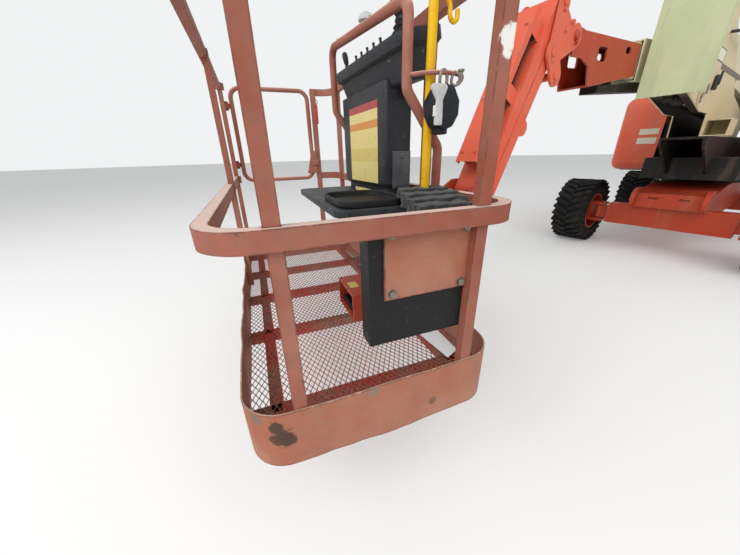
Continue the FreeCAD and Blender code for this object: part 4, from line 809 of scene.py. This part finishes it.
canvas, tree, shader = finish("black_canvas")
place = where(tree)
weave = add(tree, "TexWave", {"Vector": place, "Scale": 160.0, "Distortion": 2.0}).outputs["Fac"]
folds = noise(tree, place, 22.0, 5.0)
plug(tree, shader, {"Base Color": blend(tree, folds, "#131314", "#3A3A3C"), "Roughness": 0.8,
                    "Normal": relief(tree, maths(tree, "ADD", weave, folds), 0.5, 0.004),
                    "Sheen Weight": 0.2})

ROLLS = (
    # from a, to a, middle b, middle c, radius
    (0.545, 0.712, 0.290, 0.543, 0.030),
    (0.535, 0.715, 0.240, 0.536, 0.029),
    (0.530, 0.712, 0.190, 0.528, 0.028),
    (0.520, 0.700, 0.140, 0.519, 0.027),
    (0.505, 0.640, 0.090, 0.510, 0.025))
rolls = []
for n, (a0, a1, b, c, r) in enumerate(ROLLS):
    one_roll = block((a0, b - r, c - r * 0.8), (a1, b + r, c + r * 0.8), 0)
    edit_all()
    bpy.ops.mesh.subdivide(number_cuts=5)
    edit_done()
    soft = one_roll.modifiers.new("soft", "SUBSURF")
    soft.levels = soft.render_levels = 2
    crush = bpy.data.textures.new("crush_%d" % n, "CLOUDS")
    crush.noise_scale = 0.045
    wrinkle = one_roll.modifiers.new("wrinkle", "DISPLACE")
    wrinkle.texture = crush
    wrinkle.strength = 0.018
    wrinkle.mid_level = 0.55
    applied(one_roll)
    bpy.ops.object.shade_smooth_by_angle(angle=math.radians(70))
    rolls.append(one_roll)
cover = onto(join(rolls), "folded_cover", canvas, "platform")


# The lifeline: a grey nylon case with a cast aluminium front, hung by a shackle from a bent bar that
# is welded to the guard's near hoop, with a blank paper label and a yellow hook on the tube above.
def bar_along(points, radius):
    """A round bar bent smoothly near its points."""
    line = bpy.data.curves.new("bar", "CURVE")
    line.dimensions = "3D"
    line.bevel_depth = radius
    line.bevel_resolution = 3
    line.resolution_u = 8
    line.use_fill_caps = True
    spline = line.splines.new("NURBS")
    spline.points.add(len(points) - 1)
    for point, target in zip(spline.points, points):
        point.co = (*target, 1.0)
    spline.order_u = 3
    spline.use_endpoint_u = True
    made = bpy.data.objects.new("bar", line)
    bpy.context.collection.objects.link(made)
    fresh()
    made.select_set(True)
    bpy.context.view_layer.objects.active = made
    bpy.ops.object.convert(target="MESH")
    bpy.ops.object.shade_smooth_by_angle(angle=math.radians(40))
    return bpy.context.object


REEL_BACK, REEL_FRONT = 0.2864, 0.2420
fresh()
bpy.ops.mesh.primitive_cylinder_add(vertices=10, radius=0.5, depth=1.0, rotation=(math.radians(90), 0, 0.0),
                                    location=(0.6605, (REEL_BACK + REEL_FRONT) / 2, 0.784))
case = bpy.context.object
case.scale = (0.097, 0.118, REEL_BACK - REEL_FRONT)
applied(case)
pick(case, lambda at, normal: normal.y < -0.9, "FACE")
bpy.ops.mesh.inset(thickness=0.010)
bpy.ops.transform.translate(value=(0, -0.004, 0))
edit_done()
rounded(case, 0.005, 3)
case_foot = block((0.643, 0.246, 0.716), (0.675, 0.284, 0.735), 0.004, 2)
case = onto(join([case, case_foot]), "lifeline_case", block_silver, "platform")
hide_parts("lifeline_reel")

worn_silver = moulded("worn_cast_aluminium", [], "#B4B5B6", "#DCDCD9", "#77777A", 140.0, 0.42)
FRONT_Y = REEL_FRONT - 0.010
neck = block((0.622, FRONT_Y, 0.738), (0.646, REEL_FRONT, 0.760), 0)
pick(neck, lambda at, normal: normal.z > 0.9, "FACE")
for rise, wide in ((0.040, 0.85), (0.016, 1.9), (0.014, 1.35), (0.008, 0.75)):
    extrude((0, 0, rise))
    resize((wide, 1, 1), (0.636, REEL_FRONT, 0.80))
edit_done()
rounded(neck, 0.003, 2)
onto(neck, "lifeline_front", worn_silver, "platform")
paper = vinyl("blank_paper_label", "#E8E6DF")
onto(block((0.6165, FRONT_Y - 0.0004, 0.760), (0.6235, FRONT_Y + 0.006, 0.786), 0.0003, 1), "lifeline_label",
     paper, "platform")
onto(bar_along([(0.583, 0.330, 0.872), (0.600, 0.300, 0.872), (0.650, 0.262, 0.870), (0.712, 0.258, 0.868),
                (0.724, 0.262, 0.858), (0.712, 0.268, 0.846)], 0.0058), "lifeline_bar", salmon, "platform")
shackle = join([bar_along([(0.650, 0.262, 0.838), (0.646, 0.262, 0.862), (0.660, 0.262, 0.880),
                           (0.674, 0.262, 0.862), (0.670, 0.262, 0.838)], 0.0045),
                bar_along([(0.690, 0.258, 0.872), (0.704, 0.250, 0.866), (0.708, 0.252, 0.846),
                           (0.694, 0.258, 0.836), (0.682, 0.262, 0.850), (0.690, 0.258, 0.872)], 0.004),
                turned([(0.006, -0.012), (0.006, 0.010), (0.009, 0.011), (0.009, 0.016)],
                       (0.712, 0.256, 0.862))])
onto(shackle, "lifeline_shackle", zinc, "platform")
onto(bar_along([(0.650, 0.300, 1.060), (0.675, 0.300, 1.052), (0.693, 0.300, 1.030),
                (0.690, 0.298, 1.006), (0.700, 0.296, 0.992), (0.716, 0.296, 1.000),
                (0.714, 0.298, 1.022)], 0.0065), "yellow_hook", tube_yellow, "platform")


# Small things on the platform: the pale weather board over the control box on its brackets, a blank
# white plate that lies on the mesh, the foot switch's treadle, the gate's latch, a red tag on a ring.
panel("weather_board", [on_plat(0.590, 0.930, 1.130), on_plat(0.600, 0.520, 1.094),
                        on_plat(0.650, 0.520, 1.130), on_plat(0.640, 0.930, 1.166)], 0.004, cream,
      "platform", 0.001)
onto(join([bar_along([(0.535, 0.86, 1.098), (0.57, 0.86, 1.110), (0.612, 0.86, 1.138)], 0.006),
           bar_along([(0.560, 0.56, 1.075), (0.59, 0.56, 1.082), (0.622, 0.56, 1.108)], 0.006)]),
     "board_brackets", salmon, "platform")
DOME = [(0.030, 0), (0.030, 0.006), (0.024, 0.018), (0.012, 0.026), (0.004, 0.029)]
onto(turned(DOME, (0.618, 0.74, 1.130)), "dome_lamp", worn_silver, "platform")

white_sheet = vinyl("white_painted_sheet", "#EDEFF0")
panel("loose_white_plate", [on_plat(0.641, 0.282, 0.003), on_plat(0.660, 0.121, 0.003),
                            on_plat(0.717, 0.146, 0.003), on_plat(0.722, 0.286, 0.003)], 0.002,
      white_sheet, "platform")
onto(hollow((0.445, 0.500, 0.008), (0.545, 0.680, 0.040), 0.008, 0.004, 0.003), "foot_treadle", box_black,
     "platform")
onto(block((0.447, 0.560, 0.1245), (0.487, 0.620, 0.1262), 0.0004, 1), "foot_switch_label", small_vinyl,
     "platform")

latch = block((0.520, 1.792, 0.545), (0.600, 1.797, 0.700), 0)
pick(latch, lambda at, normal: normal.z > 0.9, "FACE")
resize((0.5, 1, 1), (0.600, 1.795, 0.700))
edit_done()
rounded(latch, 0.001, 1)
striker = block((0.560, 1.786, 0.600), (0.612, 1.800, 0.640), 0.003)
onto(join([latch, striker]), "gate_latch", salmon, "platform")
tag_red = vinyl("red_vinyl_tag", "#B8323A")
onto(block((0.622, 1.790, 0.880), (0.634, 1.7925, 1.002), 0.0008, 1), "red_tag", tag_red, "platform")
onto(bar_along([(0.628, 1.796, 1.030), (0.616, 1.790, 1.018), (0.628, 1.786, 1.002), (0.640, 1.790, 1.018),
                (0.628, 1.797, 1.031)], 0.003), "tag_ring", zinc, "platform")


# The jib's hoses: three hydraulic lines, each in a corrugated black sleeve, held straight under the
# guard channel by a clamp block at each end.
JIB_TURN, JIB_PIN = math.radians(-63.0), (3.990, -0.345, 1.745)


def on_jib(along, y, off):
    """A point along the jib from its upper pin, across it from its middle and off to its front."""
    return machine(JIB_PIN[0] + math.cos(JIB_TURN) * along - math.sin(JIB_TURN) * off, JIB_PIN[1] + y,
                   JIB_PIN[2] + math.sin(JIB_TURN) * along + math.cos(JIB_TURN) * off)


hose_rubber = moulded("hydraulic_hose_rubber", [], "#101011", "#232324", "#4A4A4C", 500.0, 0.5)
SLEEVE_PITCH, SLEEVE_LONG = 0.016, 0.74
SLEEVE_THIN, SLEEVE_WIDE, SLEEVE_OFF = 0.0145, 0.0165, 0.168
rings = [(SLEEVE_WIDE if n % 2 else SLEEVE_THIN, n * SLEEVE_PITCH / 2)
         for n in range(int(SLEEVE_LONG / SLEEVE_PITCH * 2))]
sleeves = []
for y in (-0.042, 0.0, 0.042):
    sleeve = turned(rings, (0, 0, 0), 14)
    start, end = on_jib(-0.02, y, SLEEVE_OFF), on_jib(0.72, y, SLEEVE_OFF)
    sleeve.rotation_euler = (end - start).to_track_quat("Z", "Y").to_euler()
    sleeve.location = start
    sleeves.append(applied(sleeve))
onto(join(sleeves), "jib_hoses", hose_rubber, "jib_upper_arm", False)
clamps = []
for at in (0.0, 0.70):
    clamp = block((-0.018, -0.062, -0.022), (0.018, 0.062, 0.022), 0.004)
    clamp.rotation_euler = (0, -JIB_TURN, 0)
    clamp.location = on_jib(at, 0.0, SLEEVE_OFF)
    clamps.append(applied(clamp))
onto(join(clamps), "jib_hose_clamps", box_black, "jib_upper_arm", False)


# Bolts, keepers and pin ends: zinc-plated hexagon bolts and washers on the jib guard and head, and
# on the wheels eight nuts round a pressed hub cap. Those on painted parts were painted with them.
FRONT_OF_JIB = (-math.sin(JIB_TURN), 0, math.cos(JIB_TURN))
bolts("jib_guard_bolts", [(on_jib(s, y, 0.230), FRONT_OF_JIB) for s in (-0.024, 0.377, 0.700)
                          for y in (-0.045, 0.045)], "jib_upper_arm", painted_sunlit_orange, 1.1)
bolts("jib_head_bolts", [(machine(x, -0.225, z), (0, 1, 0)) for x, z in
                         ((3.842, 1.912), (3.904, 1.865))],
      "jib_head", painted_sunlit_orange, 1.2)
CAP = [(0.100, 0), (0.100, 0.006), (0.062, 0.012), (0.058, 0.040), (0.044, 0.050), (0.006, 0.052)]
RIM_OUT, NUT_RING = 0.040, 0.140
for wheel, side in WHEELS:
    x, y, z = middle("tyre_" + wheel)
    cap = turned(CAP, (0, 0, 0), 32)
    cap.rotation_euler = (math.radians(-90 * side), 0, 0)
    cap.location = (x, y + side * RIM_OUT, z)
    onto(applied(cap), "hub_cap_" + wheel, orange, "wheel_" + wheel, False)
    spokes = [math.radians(angle) for angle in range(0, 360, 45)]
    nuts = [(x + NUT_RING * math.cos(one), y + side * RIM_OUT, z + NUT_RING * math.sin(one))
            for one in spokes]
    bolts("wheel_nuts_" + wheel, [(nut, (0, side, 0)) for nut in nuts], "wheel_" + wheel, zinc, 1.35)


# The pins' ends: a turned head with a keeper plate held by one bolt, on each end of a pin that shows.
# Those of the jib and upright were painted with them, and those through the housing are zinc-plated.
PINS = (
    # joint, body, outer face on the left, outer face on the right, colour
    ("tower_lift", "turntable", 0.3084, None, zinc),
    ("tower_link_pivot", "turntable", 0.3084, None, zinc),
    ("tower_barrel_pivot", "turntable", 0.3084, None, zinc),
    ("upright_level", "upright", 0.2964, -0.2886, orange),
    ("main_lift", "upright", None, -0.2886, orange),
    ("main_barrel_pivot", "upright", None, -0.2886, orange),
    ("jib_head_level", "fly_boom", -0.0426, -0.2946, orange),
    ("jib_lift", "jib_head", -0.0486, -0.2886, painted_sunlit_orange),
    ("jib_upper_pivot", "jib_head", -0.0486, -0.2886, painted_sunlit_orange),
    ("jib_barrel_pivot", "jib_head", -0.0486, -0.2886, painted_sunlit_orange),
    ("rotator_level", "rotator", -0.0536, -0.2836, orange))
pin_at = {joint["name"]: joint["pos_m"] for joint in frame["record"]["behaviour"]["joints"]
          if joint.get("pos_m")}
PIN_HEAD = [(0.024, 0), (0.024, 0.005), (0.021, 0.008), (0.012, 0.0085)]
for joint, body, left_face, right_face, paint in PINS:
    x, _, z = pin_at[joint]
    ends = []
    for side, face_y in ((1, left_face), (-1, right_face)):
        if face_y is None:
            continue
        head = turned(PIN_HEAD, (0, 0, 0), 28)
        keeper = block((-0.010, 0.012, 0.0), (0.010, 0.048, 0.004), 0.001, 1)
        screw = turned([(0.007, 0.004), (0.007, 0.009), (0.005, 0.010)], (0, 0.038, 0), 6)
        end = join([head, keeper, screw])
        end.rotation_euler = (math.radians(-90 * side), 0, 0)
        end.location = (x, face_y, z)
        ends.append(applied(end))
    onto(join(ends), "pin_ends_" + joint, paint, body, False)


# The tower housing's fittings on its left side: rubber over-centre latches, a blank white label in a thin
# border of painted shade, a strip of painted shade where the slot is, and a tube handle; and two blank pale
# stickers with a moulded line on the right hood.
SIDE_Y = 0.1205
latches = [block((x, 0.121, 1.665), (x + 0.055, 0.150, 1.775), 0.010, 3) for x in (1.93, 2.33)]
latches += [block((x + 0.012, 0.146, 1.700), (x + 0.043, 0.160, 1.800), 0.006, 3) for x in (1.93, 2.33)]
for piece in latches:
    piece.location = machine(0, 0, 0)
    applied(piece)
onto(join(latches), "housing_latches", boot_rubber, "turntable", False)


def on_side(x0, x1, z0, z1, y=SIDE_Y):
    """The corners of an upright sheet that faces the machine's left side."""
    return [machine(x0, y, z1), machine(x1, y, z1), machine(x1, y, z0), machine(x0, y, z0)]


white_vinyl = vinyl("blank_white_vinyl", "#DDD9C6")
# Painted shade: a brown-dark sheet in the slot and round the label.
label_and_slot_shade = vinyl("painted_slot_and_label_shade", "#5C4C38")
panel("housing_label_frame", on_side(1.90, 2.45, 1.862, 1.953), 0.0006, label_and_slot_shade, "turntable")
panel("housing_label", on_side(1.92, 2.43, 1.870, 1.945, SIDE_Y + 0.0007), 0.0006, white_vinyl, "turntable")
panel("housing_slot_strip", on_side(0.95, 1.90, 1.826, 1.866), 0.0015, label_and_slot_shade, "turntable")
handle = bar_along([(0, 0, 0), (0, 0.040, 0), (0.03, 0.055, 0), (0.52, 0.055, 0.02), (0.55, 0.040, 0.02),
                    (0.55, 0, 0.02)], 0.011)
handle.location = machine(1.460, 0.119, 2.040)
onto(applied(handle), "housing_handle", boot_rubber, "turntable", False)

hood_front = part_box("hood_right")[1][0]
for n, (z0, z1) in enumerate(((1.385, 1.455), (1.270, 1.345))):
    corners = [Vector((hood_front + 0.0004, SWING_Y - y, z))
               for y, z in ((0.705, z0), (0.50, z0), (0.50, z1), (0.705, z1))]
    panel("hood_sticker_%d" % (n + 1), corners, 0.0008, white_vinyl, "hood_right")
bpy.data.objects.remove(bolt_master)
